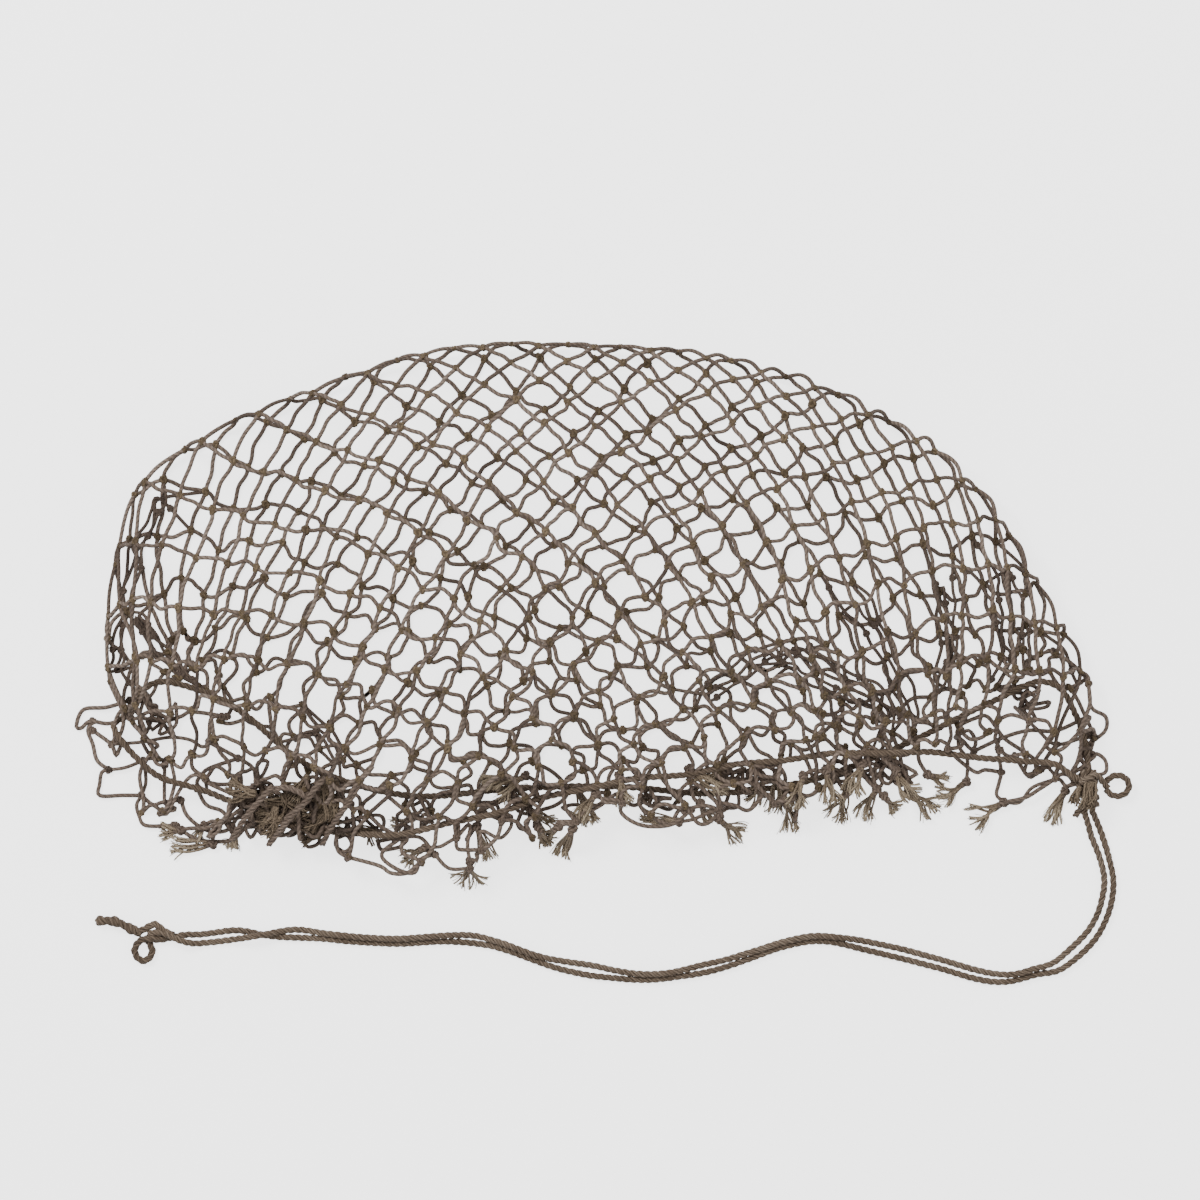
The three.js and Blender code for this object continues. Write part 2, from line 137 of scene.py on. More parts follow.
# %% Many tubes in one mesh
class Bundle:
    """Collects tubes of any length, then makes one mesh of them."""

    def __init__(self):
        self.points, self.faces, self.corners, self.tones, self.caps = [], [], [], [], []
        self.count = 0

    def add(self, paths, radius, sides, tones):
        """paths is tubes by points by 3; radius and tones may be one number, or tubes by points."""
        paths = np.asarray(paths, float)
        tubes, rings = paths.shape[:2]
        side, other = crosswise(paths)
        turn = 2 * math.pi * np.arange(sides) / sides
        wide = np.broadcast_to(np.asarray(radius, float), (tubes, rings))[:, :, None, None]
        around = side[:, :, None] * np.cos(turn)[:, None] + other[:, :, None] * np.sin(turn)[:, None]
        self.points.append((paths[:, :, None] + wide * around).reshape(-1, 3))
        tones = np.asarray(tones, float)
        tones = tones[:, None] if tones.ndim == 1 else tones
        self.tones.append(np.repeat(np.broadcast_to(tones, (tubes, rings)).ravel(), sides))
        first = self.count + np.arange(tubes) * rings * sides
        self.add_walls(first, distance_along(paths), sides)
        self.add_ends(first, distance_along(paths), sides)
        self.count += tubes * rings * sides

    def add_walls(self, first, far, sides):
        """The quads of each tube, and the place of their corners: far along, and round from 0 to 1."""
        rings = far.shape[1]
        a, b = np.arange(sides), (np.arange(sides) + 1) % sides
        near = first[:, None, None] + np.arange(rings - 1)[None, :, None] * sides
        quads = np.stack([near + a, near + b, near + sides + b, near + sides + a], axis=-1)
        self.faces.append(quads.reshape(-1, 4))
        here = np.broadcast_to(far[:, :-1, None], quads.shape[:3])
        there = np.broadcast_to(far[:, 1:, None], quads.shape[:3])
        low = np.broadcast_to(a / sides, quads.shape[:3])
        high = low + 1 / sides
        places = [(here, low), (here, high), (there, high), (there, low)]
        uv = np.stack([np.stack(place, axis=-1) for place in places], axis=3)
        self.corners.append(uv.reshape(-1, 2))

    def add_ends(self, first, far, sides):
        """The flat faces that close both ends of each tube."""
        order = np.arange(sides)
        last = first + (far.shape[1] - 1) * sides
        for base, turn, reach in ((first, order[::-1], far[:, 0]), (last, order, far[:, -1])):
            for start, distance in zip(base, reach):
                self.caps.append((start + turn, [(distance, k / sides) for k in turn]))

    def mesh(self, name):
        """One object of all the tubes."""
        mesh = bpy.data.meshes.new(name)
        quads = np.vstack(self.faces)
        loops = np.concatenate([quads.ravel(), *[face for face, _ in self.caps]])
        sizes = np.concatenate([np.full(len(quads), 4), [len(face) for face, _ in self.caps]]).astype(int)
        mesh.vertices.add(self.count)
        mesh.vertices.foreach_set("co", (np.vstack(self.points) * MM).ravel())
        mesh.loops.add(len(loops))
        mesh.loops.foreach_set("vertex_index", loops.astype(np.int32))
        mesh.polygons.add(len(sizes))
        mesh.polygons.foreach_set("loop_start", (np.cumsum(sizes) - sizes).astype(np.int32))
        mesh.update(calc_edges=True)
        uv = np.vstack([*self.corners, *[corner for _, corner in self.caps]])
        mesh.uv_layers.new(name="strand").data.foreach_set("uv", uv.ravel())
        mesh.attributes.new("tone", "FLOAT", "POINT").data.foreach_set("value", np.concatenate(self.tones))
        mesh.polygons.foreach_set("use_smooth", np.ones(len(sizes), bool))
        mesh.validate()
        made = bpy.data.objects.new(name, mesh)
        bpy.context.scene.collection.objects.link(made)
        print(name, "triangles:", int((sizes - 2).sum()))
        return made


# %% [markdown]
# ## The drawcord and its tails
#
# The cord is three strands laid up into one rope of about 3 mm. A bump map would give its
# surface, but not its notched outline, so each strand is a tube on a helix round the
# cord's own line. The routes are lists of points given along the cord. They are
# those of the CAD source, with some points of the outer tail moved by a millimetre at most.
# A tone goes with each tube: 0 is dark, 0.5 middle, 1 pale.

# %% A laid rope
ROPE = 3.1
ROPE_STEP = 1.2
STRAND_RADIUS = 0.77
STRAND_SIDES = 7
TONE_STEP = 0.06
LAY_RADIUS = 0.8
LAY_LENGTH = 9.5


def laid_rope(bundle, line, tone, lay=LAY_LENGTH, strands=3, scale=1.0):
    """Round strands twisted about a line of evenly spaced points."""
    path = np.asarray(line)[None]
    side, other = crosswise(path)
    reach = distance_along(path)[0]
    for k in range(strands):
        turn = (2 * math.pi * (k / strands + reach / lay))[:, None]
        shift = LAY_RADIUS * scale * (side[0] * np.cos(turn) + other[0] * np.sin(turn))
        strand = (path[0] + shift)[None]
        bundle.add(strand, STRAND_RADIUS * scale, STRAND_SIDES, tone + TONE_STEP * (k - 1))


print("a laid rope is", round(2 * (LAY_RADIUS + STRAND_RADIUS), 2), "mm thick")

# %% The routes of the two free tails
TAIL_INNER = [
    [207.7, -84.05, 4.4], [209.6, -90, 2.3], [211, -95, 1.6], [214.4, -103.6, 1.6], [216.5, -113, 1.6],
    [215.6, -121.3, 1.6], [213, -129.4, 1.6], [208, -137.2, 1.6], [199, -145.3, 1.6], [189.4, -150.4, 1.6],
    [176, -153.3, 1.6], [160, -151.8, 1.6], [143.4, -147.4, 1.6], [127.5, -142.2, 1.6], [108, -138.4, 1.6],
    [92, -136.6, 1.6], [79, -138.8, 1.6], [62.6, -143, 1.6], [46, -148.4, 1.6], [30, -152.6, 1.6],
    [9, -153, 1.6], [-4, -150.6, 1.6], [-14, -149, 1.6], [-26, -146, 1.6], [-36, -142.7, 1.6],
    [-46.7, -138.2, 1.6], [-54, -136, 1.6], [-63, -135.8, 1.6], [-77.6, -136.9, 1.6], [-92.7, -138, 1.6],
    [-107, -137, 1.6], [-123.6, -135.2, 1.6], [-132.7, -134.6, 1.6], [-139, -135.2, 2.4], [-144, -136.3, 4.9],
    [-149, -137.6, 5.2], [-154, -139.2, 4.9], [-159, -140.4, 2.4], [-164, -141, 1.6], [-171, -141.2, 1.6],
    [-176, -141, 2.4], [-181, -139.6, 4.9], [-186, -137.6, 5.2], [-190, -136, 5.0], [-196.1, -136.3, 4.5],
]
TAIL_OUTER = [
    [211.3, -84.05, 4.4], [213.9, -90, 2.3], [215.8, -95, 1.6], [218.4, -103.6, 1.6], [220.4, -113.5, 1.6],
    [219.7, -122.6, 1.6], [217, -131.2, 1.6], [212, -139.8, 1.6], [203, -148.4, 1.6], [192, -154.4, 1.6],
    [176, -158.2, 1.6], [159.7, -156.5, 1.6], [143.4, -151.8, 1.6], [127.5, -146.6, 1.6], [111, -142.3, 1.6],
    [92.7, -140.4, 1.6], [79, -142.3, 1.6], [62.6, -147.3, 1.6], [46, -152.8, 1.6], [28.6, -157, 1.6],
    [14, -157.8, 1.6], [-1, -156.1, 1.6], [-11.4, -153.9, 1.6], [-26, -150.1, 1.6], [-40.6, -145.8, 1.6],
    [-51, -141.3, 1.6], [-63, -139.6, 1.6], [-76.3, -140.3, 1.6], [-92.7, -141.3, 1.6], [-110, -140.2, 1.6],
    [-122, -138.9, 1.6], [-134, -139.2, 1.6], [-139, -139.2, 1.6], [-144, -138.6, 1.6], [-149, -137.2, 1.6],
    [-154, -135.7, 1.6], [-159, -135, 1.6], [-167, -135.6, 1.6], [-174, -136.3, 1.6], [-180, -136.9, 1.6],
    [-186, -138.3, 1.6], [-191, -139.3, 1.6], [-196.2, -138.9, 1.75],
]
print("points along the tails:", len(TAIL_INNER), len(TAIL_OUTER))

# %% [markdown]
# Two cords that lie side by side touch in some places and stand apart in others, and the eye
# sees that at once. The routes above would have to be moved point by point for it. Here they
# are drawn together instead: a second list says where the middle between both cords lies in
# the photograph and how far apart they are, and each cord moves there, by 2 mm at most. Where
# they cross or lie closer than a cord's thickness, the inner one is lifted onto the other.
# At their left end the routes themselves say which one is on top.

# %% Where the two tails lie side by side
# Each place is x, the y half way between the two, and how much more y the inner one has
PAIR = np.array([
    [-173, -139, -3.6], [-164.5, -137.8, -4.2], [-156, -136.8, -3.3], [-146.5, -137.2, 0],
    [-138.5, -136.8, 2.6], [-130, -136.6, 3.7], [-121.5, -137.6, 2.5], [-104, -139.3, 2.3],
    [-87, -140, 2.3], [-70, -138.7, 2.5], [-57, -138.9, 3.4], [-44, -141.5, 2.5],
    [-35.5, -144.7, 2.3], [-27, -147.9, 2.5], [-18.5, -150.2, 3.7], [-5.5, -152.5, 4.6],
    [7.5, -154.5, 3.2], [16, -155.4, 2.5], [24.5, -155.2, 2.4], [33, -153.9, 2.4],
    [42, -152.2, 3.6], [50.5, -150.3, 3.3], [59, -147.7, 2.9], [67.5, -144.7, 2.5],
    [76, -141.7, 2.4], [85, -139.5, 2.3], [93.5, -138.5, 2.3], [102, -139.5, 2.5],
    [110.5, -141.2, 3.7], [128, -145.1, 4.1], [145, -149.5, 3.9], [162, -154.6, 3.9],
    [171, -156.1, 3.4], [179.5, -155.4, 2.6], [188, -152.2, 2.8],
])
DRAWN_MOST = 2.0
DRAWN_FROM, DRAWN_TO, DRAWN_BELOW = -186, 203, -125
SOFT_LEFT, SOFT_RIGHT = 12, 14
LIFT_FROM, LIFT_SOFT = -140, 10
EVEN_OVER = 9


def drawn_together(line, side):
    """The tail, moved a little towards the other one where the two touch in the photo."""
    x = line[:, 0]
    middle, apart = (np.interp(x, PAIR[:, 0], PAIR[:, k]) for k in (1, 2))
    share = ease((x - DRAWN_FROM) / SOFT_LEFT) * ease((DRAWN_TO - x) / SOFT_RIGHT)
    share = share * (line[:, 1] < DRAWN_BELOW)
    move = share * np.clip(middle + 0.5 * side * apart - line[:, 1], -DRAWN_MOST, DRAWN_MOST)
    lift = share * np.sqrt(np.maximum(ROPE**2 - apart**2, 0)) * (side > 0)
    lift = lift * ease((x - LIFT_FROM) / LIFT_SOFT)
    even = np.ones(EVEN_OVER) / EVEN_OVER
    line[:, 1] += np.convolve(move, even, mode="same")
    line[:, 2] += np.convolve(lift, even, mode="same")
    return line


gap_mean = round(float(np.abs(PAIR[:, 2]).mean()), 1)
print("places of the pair:", len(PAIR), "mean distance between the tails, mm:", gap_mean)

# %% The two free tails
INNER_TONE, OUTER_TONE = 0.56, 0.5


def free_tail(name, points, node, tone, side):
    """One tail of the drawcord, laid up as rope along its route."""
    line = drawn_together(smooth_line(points, ROPE_STEP), side)
    bundle = Bundle()
    laid_rope(bundle, line, tone)
    tail = bundle.mesh(name)
    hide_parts(node)
    return tail


tail_inner = free_tail("inner_tail", TAIL_INNER, "tail_inner", INNER_TONE, 1)
tail_outer = free_tail("outer_tail", TAIL_OUTER, "tail_outer", OUTER_TONE, -1)

# %% [markdown]
# ## The form of the bag
#
# Thirteen sections, from the left end of the mouth to its right end, say where the near
# rim, the crown and the far rim lie and how high the bag stands. Smooth curves run
# between them. A point of the net is then found from two numbers: how far along the
# mouth, and how many rows from the near rim over the crown to the far rim. The CAD source
# shapes its solid with the same sections, so the two stay together, apart from one corner
# of the crown that is filled out further down.

# %% Sections
NAMES = [
    "u", "nearX", "nearY", "crownX", "crownY", "farX", "farY", "top", "rim", "nearHem", "nearHemZ", "farHem",
]
SECTIONS = np.array([
    [0.00, -203, -48, -207, -37, -200, -31, 9, 7, 26, 1.2, 5],
    [0.04, -191, -62, -214, -22, -187, -28, 20, 7, 24, 1.2, 7],
    [0.10, -172, -74, -208, 24, -160, -38, 30, 7, 20, 1.2, 11],
    [0.20, -131, -90, -179, 72, -125, -65, 42, 12, 14, 6, 12],
    [0.30, -89, -93, -125, 98, -83, -77, 51, 18, 15, 14, 11],
    [0.40, -47, -84, -68, 115, -39, -74, 57, 19, 16, 15, 12],
    [0.50, -6, -73, -8, 117, 5, -73, 60, 19, 15, 15, 12],
    [0.60, 36, -67, 52, 111, 48, -76, 58, 19, 17, 15, 11],
    [0.70, 78, -61, 109, 92, 91, -70, 52, 18, 20, 14, 11],
    [0.80, 120, -58, 158, 58, 132, -54, 43, 16, 17, 10, 10],
    [0.90, 163, -60, 192, 5, 171, -35, 31, 11, 13, 3, 9],
    [0.96, 189, -62, 210, -31, 192, -28, 18, 8, 10, 1.2, 6],
    [1.00, 205, -65, 212, -52, 207, -41, 9, 8, 7, 1.2, 4],
])
AT = SECTIONS[:, 0]
SIDE_STEP = 0.01


def section(u, name):
    """A smooth value between the sections."""
    value = SECTIONS[:, NAMES.index(name)]
    low = np.maximum(np.arange(len(AT)) - 1, 0)
    high = np.minimum(np.arange(len(AT)) + 1, len(AT) - 1)
    slope = (value[high] - value[low]) / (AT[high] - AT[low])
    k = np.clip(np.searchsorted(AT, u, side="left") - 1, 0, len(AT) - 2)
    span = AT[k + 1] - AT[k]
    t = (u - AT[k]) / span
    curve = value[k] * (2 * t**3 - 3 * t**2 + 1) + value[k + 1] * (3 * t**2 - 2 * t**3)
    return curve + span * (slope[k] * (t**3 - 2 * t**2 + t) + slope[k + 1] * (t**3 - t**2))


def plan(u, name):
    """Where the near rim, the crown or the far rim lies, seen from above."""
    return np.stack([section(u, name + "X"), section(u, name + "Y")], axis=-1)


def outward(u, name):
    """The level way out of the bag at a rim. At the crown it points into the bag."""
    along = plan(np.minimum(u + SIDE_STEP, 1), name) - plan(np.maximum(u - SIDE_STEP, 0), name)
    return unit(np.stack([along[..., 1], -along[..., 0]], axis=-1))


print("sections:", len(AT), "highest, mm:", SECTIONS[:, NAMES.index("top")].max())

# %% Heights
ROWS = 38
HALF = ROWS / 2
HEM_ROWS = 2
TWINE = 1.85
FLOOR = 0.5 * TWINE
FOLD_HEIGHT = 8.0
FAR_RIM_LIFT = 5.3
FAR_RIM_RISES, FAR_RIM_SOFT = 0.86, 0.14
CREST = 0.55


def upper_height(u, p):
    """Height of the upper layer, over the share p of the way from its rim to the crown."""
    top, rim = section(u, "top"), section(u, "rim")
    fold = np.minimum(FOLD_HEIGHT, 0.5 * top)
    rise = rim + (top - rim) * np.sin(0.5 * math.pi * np.minimum(p / CREST, 1))
    past = np.maximum(p - CREST, 0) / (1 - CREST)
    fall = fold + (top - fold) * np.sqrt(np.maximum(0, 1 - past**2))
    return np.where(p < CREST, rise, fall)


def lower_height(u, p, width):
    """Height of the lower layer, over the share p of the way from the crown to its rim."""
    fold = np.minimum(FOLD_HEIGHT, 0.5 * section(u, "top")) - 1
    inside = np.minimum(p * width, fold)
    round_fold = FLOOR + fold - np.sqrt(np.maximum(0, fold**2 - (fold - inside) ** 2))
    return round_fold + (FAR_RIM_LIFT - 1) * ease((p - FAR_RIM_RISES) / FAR_RIM_SOFT)


heights = upper_height(np.full(3, 0.5), np.array([0.0, CREST, 1.0]))
print("rim, crest and fold of the upper layer in the middle, mm:", heights.round(1).tolist())

# %% [markdown]
# The rows of the net are spaced evenly over the puffed surface, and so they crowd together
# where it is steep. Seen from above that is what makes the net look round. To place a row,
# the way over the surface is measured and the plan is read off where that way is reached.

# %% A point of the surface
PLACES_UP = 49


def plan_share(u, t, width):
    """The share of the plan at a share t of the way over the puffed surface."""
    q = 1 - (1 - np.linspace(0, 1, PLACES_UP)) ** 2
    height = upper_height(u[:, None], q[None])
    steps = np.hypot(np.diff(q)[None] * width[:, None], np.diff(height, axis=1))
    reach = np.concatenate([np.zeros((len(u), 1)), np.cumsum(steps, axis=1)], axis=1)
    return np.array([np.interp(s * r[-1], r, q) for s, r in zip(t, reach)])


def surface(u, row):
    """Points of the net: u along the mouth, row from the near rim over the crown."""
    u, row = np.clip(np.asarray(u, float), 0, 1), np.asarray(row, float)
    near, crown, far = plan(u, "near"), plan(u, "crown"), plan(u, "far")
    inner = np.clip(row, 0, ROWS)
    width = np.linalg.norm(near - crown, axis=-1)
    p = plan_share(u, np.minimum(inner / HALF, 1), width)[:, None]
    upper = np.concatenate([near + (crown - near) * p, upper_height(u, p[:, 0])[:, None]], axis=1)
    q = np.clip(inner / HALF - 1, 0, 1)[:, None]
    back = np.linalg.norm(far - crown, axis=-1)
    lower = np.concatenate([crown + (far - crown) * q, lower_height(u, q[:, 0], back)[:, None]], axis=1)
    point = np.where((inner <= HALF)[:, None], upper, lower)
    near_share = np.clip(-row / HEM_ROWS, 0, 1)[:, None]
    near_drop = (section(u, "nearHemZ") - section(u, "rim"))[:, None] * near_share**2
    near_out = outward(u, "near") * section(u, "nearHem")[:, None] * near_share
    point += np.concatenate([near_out, near_drop], axis=1)
    far_share = np.clip((row - ROWS) / HEM_ROWS, 0, 1)[:, None]
    far_drop = (1 - FAR_RIM_LIFT) * far_share**2
    far_out = outward(u, "far") * section(u, "farHem")[:, None] * far_share
    return point + np.concatenate([far_out, far_drop], axis=1)


def surface_ways(u, row):
    """Along the mouth, across the rows, and out of the surface, all of length one."""
    du, dr = 0.004, 0.12
    along = unit(surface(np.minimum(u + du, 1), row) - surface(np.maximum(u - du, 0), row))
    low, high = np.maximum(row - dr, -HEM_ROWS), np.minimum(row + dr, ROWS + HEM_ROWS)
    across = unit(surface(u, high) - surface(u, low))
    return along, across, unit(np.cross(along, across))


middle = surface(np.array([0.5, 0.5, 0.5]), np.array([0.0, HALF, ROWS]))
print("near rim, crown and far rim in the middle, mm:", middle.round(1).tolist())

# %% [markdown]
# ## Knots and bars
#
# A net is made of knots in staggered rows, and of twine bars from each knot to the two
# above it. All bars were tied over one gauge stick, so they have the same length, 17.5 mm.
# Near the crown the net is pulled tight and the bars are almost straight. Towards the
# mouth there is too much net for the space, so the bars bow out and the knots drift.
# An even grid laid over the form would look like a printed pattern, so each knot drifts
# by chance: hardly at all at both ends of the mouth, a little at the crown, and most at the rims.

# %% How much net there is
BAR = 17.5
MESH_WIDE = 24.6
ROW_UPPER = 11.7
ROW_LOWER = 9.8
# The left flank is stretched the long way, so its run up the picture counts for less
LEFT_FLANK = 0.75
PLACES_ALONG = 401
PLACES_ACROSS = 41
COARSE_STEP = 10

fine_u = np.linspace(0, 1, PLACES_ALONG)
coarse_u = fine_u[::COARSE_STEP]
crown_steps = np.diff(surface(fine_u, np.full(PLACES_ALONG, HALF)), axis=0)
crown_steps[:, 1] *= np.where(fine_u[1:] < 0.5, LEFT_FLANK, 1.0)
crown_reach = np.concatenate([[0], np.cumsum(np.linalg.norm(crown_steps, axis=1))])


def layer_reach(first_row):
    """The way over one layer, from its first row over half the rows, at places along the mouth."""
    rows = first_row + np.linspace(0, 1, PLACES_ACROSS) * HALF
    return np.array([distance_along(surface(np.full(len(rows), u), rows)[None])[0][-1] for u in coarse_u])


upper_reach, lower_reach = layer_reach(0), layer_reach(HALF)
mesh_count = int(round(crown_reach[-1] / MESH_WIDE))
print("crown, mm:", round(crown_reach[-1]), "meshes along it:", mesh_count)

# %% Where the knots lie
MOST_ROWS = 24
HEM_SPARE = 0.35
LEAST_DRIFT, MORE_DRIFT, DRIFT_ROWS, END_DRIFT = 0.18, 0.82, 14, 0.1
DRIFT_ALONG, DRIFT_OVER = 0.2, 0.42


def net_row(u, j):
    """The row of the form for the j-th half mesh from the crown: minus on the upper layer."""
    upper = np.interp(u, coarse_u, upper_reach)
    lower = np.interp(u, coarse_u, lower_reach)
    over, under = -j * ROW_UPPER, j * ROW_LOWER
    near_hem = -HEM_ROWS * (over - upper) / section(u, "nearHem")
    far_hem = ROWS + HEM_ROWS * (under - lower) / section(u, "farHem")
    upper_row = np.where(over > upper, near_hem, HALF * (1 - over / upper))
    lower_row = np.where(under > lower, far_hem, HALF * (1 + under / lower))
    return np.where(j < 0, upper_row, lower_row)


half_steps = range(2 * mesh_count + 1)
span = [(x / 2, j) for j in range(-MOST_ROWS, MOST_ROWS + 1) for x in half_steps if (x + j) % 2 == 0]
span = np.array(span, float)
span_u = np.interp(span[:, 0] / mesh_count, crown_reach / crown_reach[-1], fine_u)
span_row = net_row(span_u, span[:, 1])
kept = (span_row > -HEM_ROWS - HEM_SPARE) & (span_row < ROWS + HEM_ROWS + HEM_SPARE)
grid = [(x, j) for x, j in span[kept]]
number = {key: k for k, key in enumerate(grid)}
knot_x, knot_j = span[kept].T
knot_row = np.clip(span_row[kept], -HEM_ROWS, ROWS + HEM_ROWS)

rim_gap = np.minimum(np.abs(knot_row), np.abs(ROWS - knot_row))
loose = LEAST_DRIFT + MORE_DRIFT * (1 - ease(np.minimum(rim_gap, HALF) / DRIFT_ROWS))
fixed = (knot_x <= 0) | (knot_x >= mesh_count)
drift = np.where(fixed, END_DRIFT, 1.0) * loose
drift_u = DRIFT_ALONG / mesh_count * drift * chance.uniform(-1, 1, len(grid))
knot_u = np.clip(span_u[kept] + drift_u, 0, 1)
knot_r = net_row(knot_u, knot_j + DRIFT_OVER * drift * chance.uniform(-1, 1, len(grid)))
knot_r = np.clip(knot_r, -HEM_ROWS, ROWS + HEM_ROWS)
print("knots:", len(grid), "of them at the two ends:", int(fixed.sum()))

# %% [markdown]
# ## Letting the meshes settle
#
# After the drift some neighbours lie farther apart than the twine between them is long. A
# cloth simulation could sort that out, but it is slow and hard to steer. A few rounds of a
# simple rule do as well: two knots that are too near or too far are moved a part of the
# way back, and knots beside or above one another keep a mesh's distance. Then each knot is
# put back on the form, at the nearest of many places.

# %% Let the meshes settle
SETTLE_ROUNDS = 90
SETTLE_STEP = 0.3
RIM_HELD = 1.5
LEAST_BAR = 0.8 * BAR
LEAST_MESH, MOST_WIDE, MOST_TALL = 15.0, 26.0, 27.0
ROW_PLACES = 96


def links(dx, dj, least, most):
    """Pairs of knots one step apart in the net, and how near and how far apart they may lie."""
    found = [(k, number[(x + dx, j + dj)]) for k, (x, j) in enumerate(grid) if (x + dx, j + dj) in number]
    return np.array(found).T, least, most


def nearest_places(spots, upper):
    """For each spot the u and the row of the nearest of many places on that layer."""
    rows = np.linspace(0, HALF, ROW_PLACES) + (0 if upper else HALF)
    u, row = (v.ravel() for v in np.meshgrid(fine_u, rows))
    places = surface(u, row)
    best = [np.argmin(np.sum((places - spot) ** 2, axis=1)) for spot in spots]
    return u[best], row[best]


LINKS = [
    links(0.5, 1, LEAST_BAR, BAR), links(-0.5, 1, LEAST_BAR, BAR),
    links(1, 0, LEAST_MESH, MOST_WIDE), links(0, 2, LEAST_MESH, MOST_TALL),
]
before = surface(knot_u, knot_r)
settled = before.copy()
free = ~fixed & (knot_j != 0) & (knot_r > RIM_HELD) & (knot_r < ROWS - RIM_HELD)
for _ in range(SETTLE_ROUNDS):
    push = np.zeros_like(settled)
    for (a, b), least, most in LINKS:
        apart = settled[b] - settled[a]
        size = np.linalg.norm(apart, axis=1, keepdims=True)
        move = 0.5 * apart * (1 - np.clip(size, least, most) / size)
        np.add.at(push, a, move)
        np.add.at(push, b, -move)
    settled[free] += SETTLE_STEP * push[free]
for upper in (True, False):
    moved = free & ((knot_j < 0) == upper)
    knot_u[moved], knot_r[moved] = nearest_places(settled[moved], upper)
knots = surface(knot_u, knot_r)
print("moved by settling, mm:", round(float(np.linalg.norm(knots - before, axis=1).max()), 1))

# %% [markdown]
# Seen from above, the outline of the bag is made by the meshes that stand out at the crown,
# and not by the sections. The photograph shows them pulled close to the edge, more so on
# the left, and a full upper left corner. So the rows beside the crown are moved towards it,
# and the knots round that corner are pushed out, a few millimetres beyond the CAD's solid.

# %% The edge of the crown
LEFT_PULL, LESS_ON_RIGHT = 0.45, 0.3
LEFT_ENDS, LEFT_FADES = 0.5, 0.15
CORNER_FILL = 6.5
CORNER_AT, CORNER_WIDE, CORNER_ROWS = 0.15, 0.04, 6


def right_share(u):
    """0 on the left half of the mouth, 1 on the right."""
    return ease((u - LEFT_ENDS) / LEFT_FADES)


edge_row = np.abs(knot_j) == 1
edge_pull = (LEFT_PULL - LESS_ON_RIGHT * right_share(knot_u))[:, None]
knots[edge_row, :2] += (edge_pull * (plan(knot_u, "crown") - knots[:, :2]))[edge_row]
corner = CORNER_FILL * np.exp(-(((knot_u - CORNER_AT) / CORNER_WIDE) ** 2) - (knot_j / CORNER_ROWS) ** 2)
knots[:, :2] -= outward(knot_u, "crown") * corner[:, None]
way_u, way_row, way_out = surface_ways(knot_u, knot_r)
print("most that the corner is pushed out, mm:", round(float(corner.max()), 1))

# %% Where the net has bunched up
# Each place is x, y, reach and pull, then 1 for the upper layer or -1 for the lower
BUNCHES = [
    [-183, -24, 40, 0.5, -1], [-185, -28, 20, 0.2, 1], [188, -14, 50, 0.5, -1], [185, -22, 20, 0.2, 1],
    [56, -28, 30, 0.35, -1], [112, -42, 44, 0.4, -1], [95, -45, 30, 0.25, 1], [-128, -74, 30, 0.35, 1],
    [-132, -68, 26, 0.35, -1], [-60, -60, 22, 0.2, -1], [10, -62, 24, 0.2, -1], [150, -52, 26, 0.25, 1],
]
unbunched = knots.copy()
for x, y, reach, pull, layer in BUNCHES:
    gap = np.array([x, y]) - knots[:, :2]
    near_by = pull * np.exp(-np.sum(gap**2, axis=1) / reach**2) * (knot_j * layer < 0) * ~fixed
    knots[:, :2] += gap * near_by[:, None]
print("moved by bunching, mm:", round(float(np.linalg.norm(knots - unbunched, axis=1).max()), 1))

# %% Which knots the bars join
pairs = []
for x, j in grid:
    for dx in (-0.5, 0.5):
        if (x + dx, j + 1) in number:
            pairs.append((number[(x, j)], number[(x + dx, j + 1)], 2 * dx))
start, end, lean = (np.array(v) for v in zip(*pairs))
start, end = start.astype(int), end.astype(int)
# Twice over, because a bar that goes can leave its neighbour with a loose end
for _ in range(2):
    bars_at = np.bincount(np.concatenate([start, end]), minlength=len(grid))
    whole = (bars_at[start] > 1) & (bars_at[end] > 1)
    start, end, lean = start[whole], end[whole], lean[whole]
tied = np.bincount(np.concatenate([start, end]), minlength=len(grid)) > 1
slackness = 0.5 * (loose[start] + loose[end])
print("bars:", len(start), "knots that are tied:", int(tied.sum()))

# %% [markdown]
# Each bar is a smooth curve from knot to knot, with a handle at both ends that says how it
# leaves the knot. A tight bar leaves mostly straight towards the next knot. A slack one
# leaves mostly as its knot was tied, 34 degrees to one side of the way across the rows.

# %% The bars as curves
BAR_POINTS = 14
LEG_ANGLE = math.radians(34)
HANDLE = 0.36
TIGHT_BLEND, SLACK_BLEND = 0.3, 0.45


def leg(k, blend, chord):
    """The way a bar leaves its knot: partly the knot's own way, partly straight on."""
    own = way_row[k] * math.cos(LEG_ANGLE) + way_u[k] * (lean * math.sin(LEG_ANGLE))[:, None]
    return unit(unit(chord) * (1 - blend) + own * blend)


chord = knots[end] - knots[start]
gap = np.linalg.norm(chord, axis=1)
blend = (TIGHT_BLEND + SLACK_BLEND * slackness)[:, None]
handle = (HANDLE * gap)[:, None]
first = knots[start] + leg(start, blend, chord) * handle
second = knots[end] - leg(end, blend, chord) * handle
t = np.linspace(0, 1, BAR_POINTS)[None, :, None]
bars = (1 - t) ** 3 * knots[start][:, None] + 3 * t * (1 - t) ** 2 * first[:, None]
bars += 3 * t**2 * (1 - t) * second[:, None] + t**3 * knots[end][:, None]
print("mean length before the slack, mm:", round(float(distance_along(bars)[:, -1].mean()), 1))

